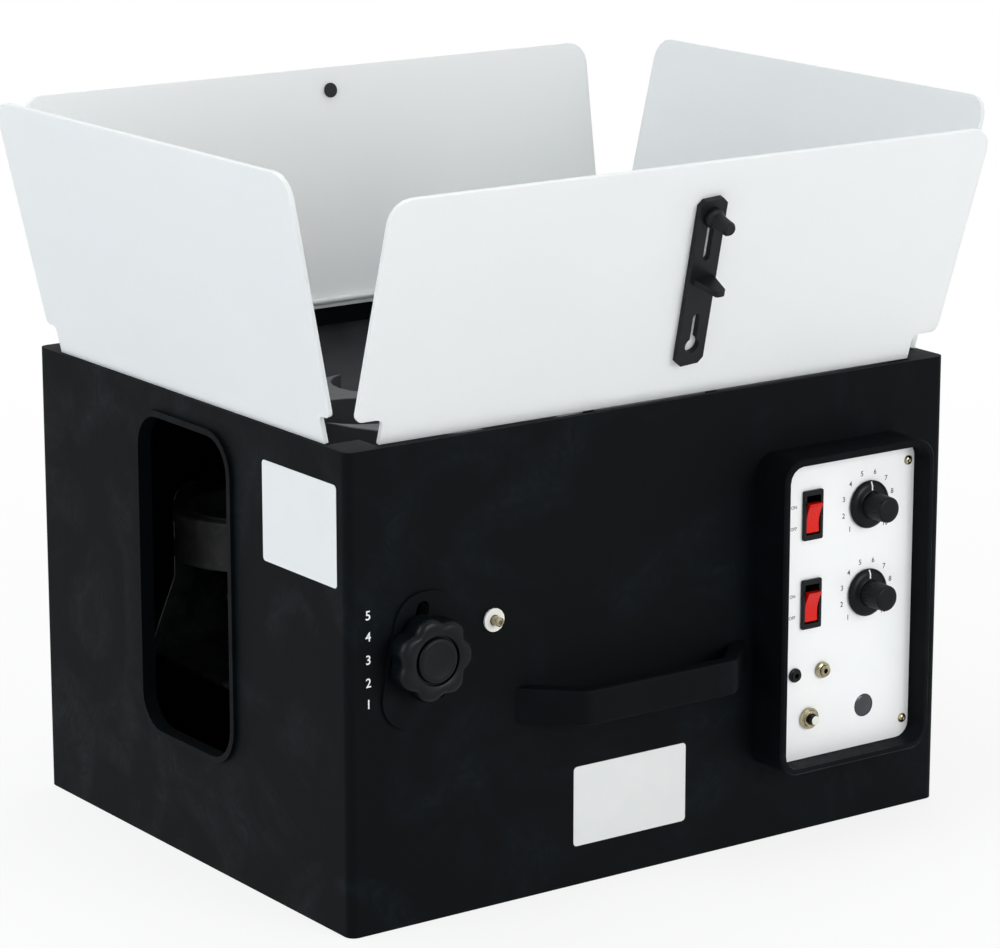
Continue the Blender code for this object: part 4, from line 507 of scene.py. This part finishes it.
def makeScrew(index, x, z):
    centre = (x * mm, plateFront * mm, z * mm)
    profile = [(3.1, 0.05), (3.1, 0.5), (2.9, 1.0), (2.3, 1.5), (1.5, 1.8), (1.3, 1.2), (0.4, 0.9)]
    head = lathed(f"plateScrew{index}", centre, profile, 24, nickelPlate, "frame")


insert = {"radius": 2.9, "proud": 0.2}


def makeResetInsert():
    # The button's pale face inside its black rim.
    button = nodes["reset_button"]
    corners = [button.matrix_world @ Vector(corner) for corner in button.bound_box]
    middle = [(min(c[i] for c in corners) + max(c[i] for c in corners)) / 2 for i in (0, 2)]
    centre = (middle[0], min(c[1] for c in corners), middle[1])
    profile = [(insert["radius"], -0.3), (insert["radius"], 0.05),
               (insert["radius"] - 0.3, insert["proud"]), (0.6, insert["proud"])]
    face = lathed("resetInsert", centre, profile, 32, naturalNylon, "reset_push")


label = {"front": (-21.75, 50.5, 86.5, 51.0), "left": (-129.5, 244.0, 80.0, 62.0)}


def makeLabels():
    x, z, width, height = label["front"]
    centre = (x * mm, frontWall * mm, z * mm)
    blank = flatOutline("frontBlankLabel", centre, roundedOutline(width, height, 2.5), 0.02, 0.25,
                        labelVinyl, "frame")
    y, z, width, height = label["left"]
    outline = roundedOutline(width, height, 2.5)
    points = [Vector(((leftWall - out) * mm, (y - u) * mm, (z + v) * mm))
              for out in (0.02, 0.25) for u, v in outline]
    side = meshObject("leftBlankLabel", points, ringFaces(2, len(outline)), labelVinyl, "frame")


def makeScaleNumbers():
    for number, z in ((5, 197.0), (4, 184.0), (3, 170.0), (2, 156.0), (1, 143.0)):
        text = addText(f"elevationNumber{number}", str(number),
                       (-214.5 * mm, (frontWall - 0.04) * mm, z * mm), 5.6, whiteInk)


makeElevationKnob()
for name, z in dial["zs"].items():
    makeDial(name, z)
    makeDialNumbers(name, z)
for name, z in rocker["zs"].items():
    makeRocker(name, z)
    makeSwitchWords(name, z)
for index, (x, z) in enumerate(screw["places"]):
    makeScrew(index, x, z)
makeResetInsert()
makeLabels()
makeScaleNumbers()
print("controls made")


def seenDirectly(tree):
    # 1 for camera, mirror and see-through rays, which show the plain background.
    path = addNode(tree, "ShaderNodeLightPath")
    total = path.outputs["Is Camera Ray"]
    for ray in ("Is Glossy Ray", "Is Transmission Ray"):
        step = addNode(tree, "ShaderNodeMath", {"operation": "ADD", "use_clamp": True})
        tree.links.new(total, step.inputs[0])
        tree.links.new(path.outputs[ray], step.inputs[1])
        total = step.outputs[0]
    return total


def makeFloor():
    mesh = bpy.data.meshes.new("floor")
    mesh.from_pydata([(-9, -9, 0), (9, -9, 0), (9, 9, 0), (-9, 9, 0)], [], [(0, 1, 2, 3)])
    item = bpy.data.objects.new("floor", mesh)
    item.location.z = -0.0003
    bpy.context.scene.collection.objects.link(item)
    material, tree, shader = newMaterial("paleStudioFloor", "#f2f2f2", 0.9)
    shader.inputs["Specular IOR Level"].default_value = 0.1
    glow = addNode(tree, "ShaderNodeEmission", {"Color": (1, 1, 1, 1), "Strength": 1.0})
    # The shadow shows near the machine, and the sweep goes to plain white away from it.
    away = addNode(tree, "ShaderNodeVectorMath", {"operation": "LENGTH"})
    tree.links.new(objectPlace(tree), away.inputs[0])
    share = addNode(tree, "ShaderNodeMath", {"operation": "MULTIPLY"})
    tree.links.new(ramp(tree, away.outputs["Value"], 0.82, 1.0, 0.45, 1.3), share.inputs[1])
    tree.links.new(seenDirectly(tree), share.inputs[0])
    mix = addNode(tree, "ShaderNodeMixShader", {}, {"Fac": share.outputs[0]})
    tree.links.new(shader.outputs[0], mix.inputs[1])
    tree.links.new(glow.outputs[0], mix.inputs[2])
    tree.links.new(mix.outputs[0], tree.nodes["Material Output"].inputs["Surface"])
    item.data.materials.append(material)


def makeWorld():
    world = bpy.data.worlds.new("studio")
    world.use_nodes = True
    tree = world.node_tree
    tree.nodes.clear()
    lit = addNode(tree, "ShaderNodeBackground", {"Color": (1, 1, 1, 1), "Strength": 0.5})
    seen = addNode(tree, "ShaderNodeBackground", {"Color": (1, 1, 1, 1), "Strength": 1.0})
    mix = addNode(tree, "ShaderNodeMixShader", {}, {"Fac": seenDirectly(tree)})
    tree.links.new(lit.outputs[0], mix.inputs[1])
    tree.links.new(seen.outputs[0], mix.inputs[2])
    out = addNode(tree, "ShaderNodeOutputWorld")
    tree.links.new(mix.outputs[0], out.inputs["Surface"])
    bpy.context.scene.world = world


def addLight(name, place, target, size, power, colour="#ffffff"):
    data = bpy.data.lights.new(name, "AREA")
    data.color = linear(colour)[:3]
    data.shape = "RECTANGLE"
    data.size, data.size_y = size
    data.energy = power
    item = bpy.data.objects.new(name, data)
    item.location = place
    aim = Vector(target) - Vector(place)
    item.rotation_euler = aim.to_track_quat("-Z", "Y").to_euler()
    bpy.context.scene.collection.objects.link(item)


def makeCamera():
    data = bpy.data.cameras.new("photoCamera")
    data.sensor_width = 36
    data.lens = 144.07
    data.clip_end = 50
    item = bpy.data.objects.new("photoCamera", data)
    item.location = (-1.4510, -2.0474, 0.8406)
    item.rotation_euler = (math.radians(90 - 14.01), 0, math.radians(-35.483))
    bpy.context.scene.collection.objects.link(item)
    bpy.context.scene.camera = item


makeFloor()
makeWorld()
makeCamera()
addLight("key", (0.6, -2.4, 0.9), (0, 0, 0.25), (1.2, 1.0), 25)
addLight("leftFill", (-2.2, -0.2, 1.2), (0, 0, 0.25), (1.4, 1.4), 22, "#eef7ff")
addLight("overhead", (0.1, 0.4, 2.2), (0, 0, 0.3), (1.6, 1.6), 20)
scene = bpy.context.scene
scene.view_settings.view_transform = "Standard"
scene.view_settings.look = "None"
print("stage made")
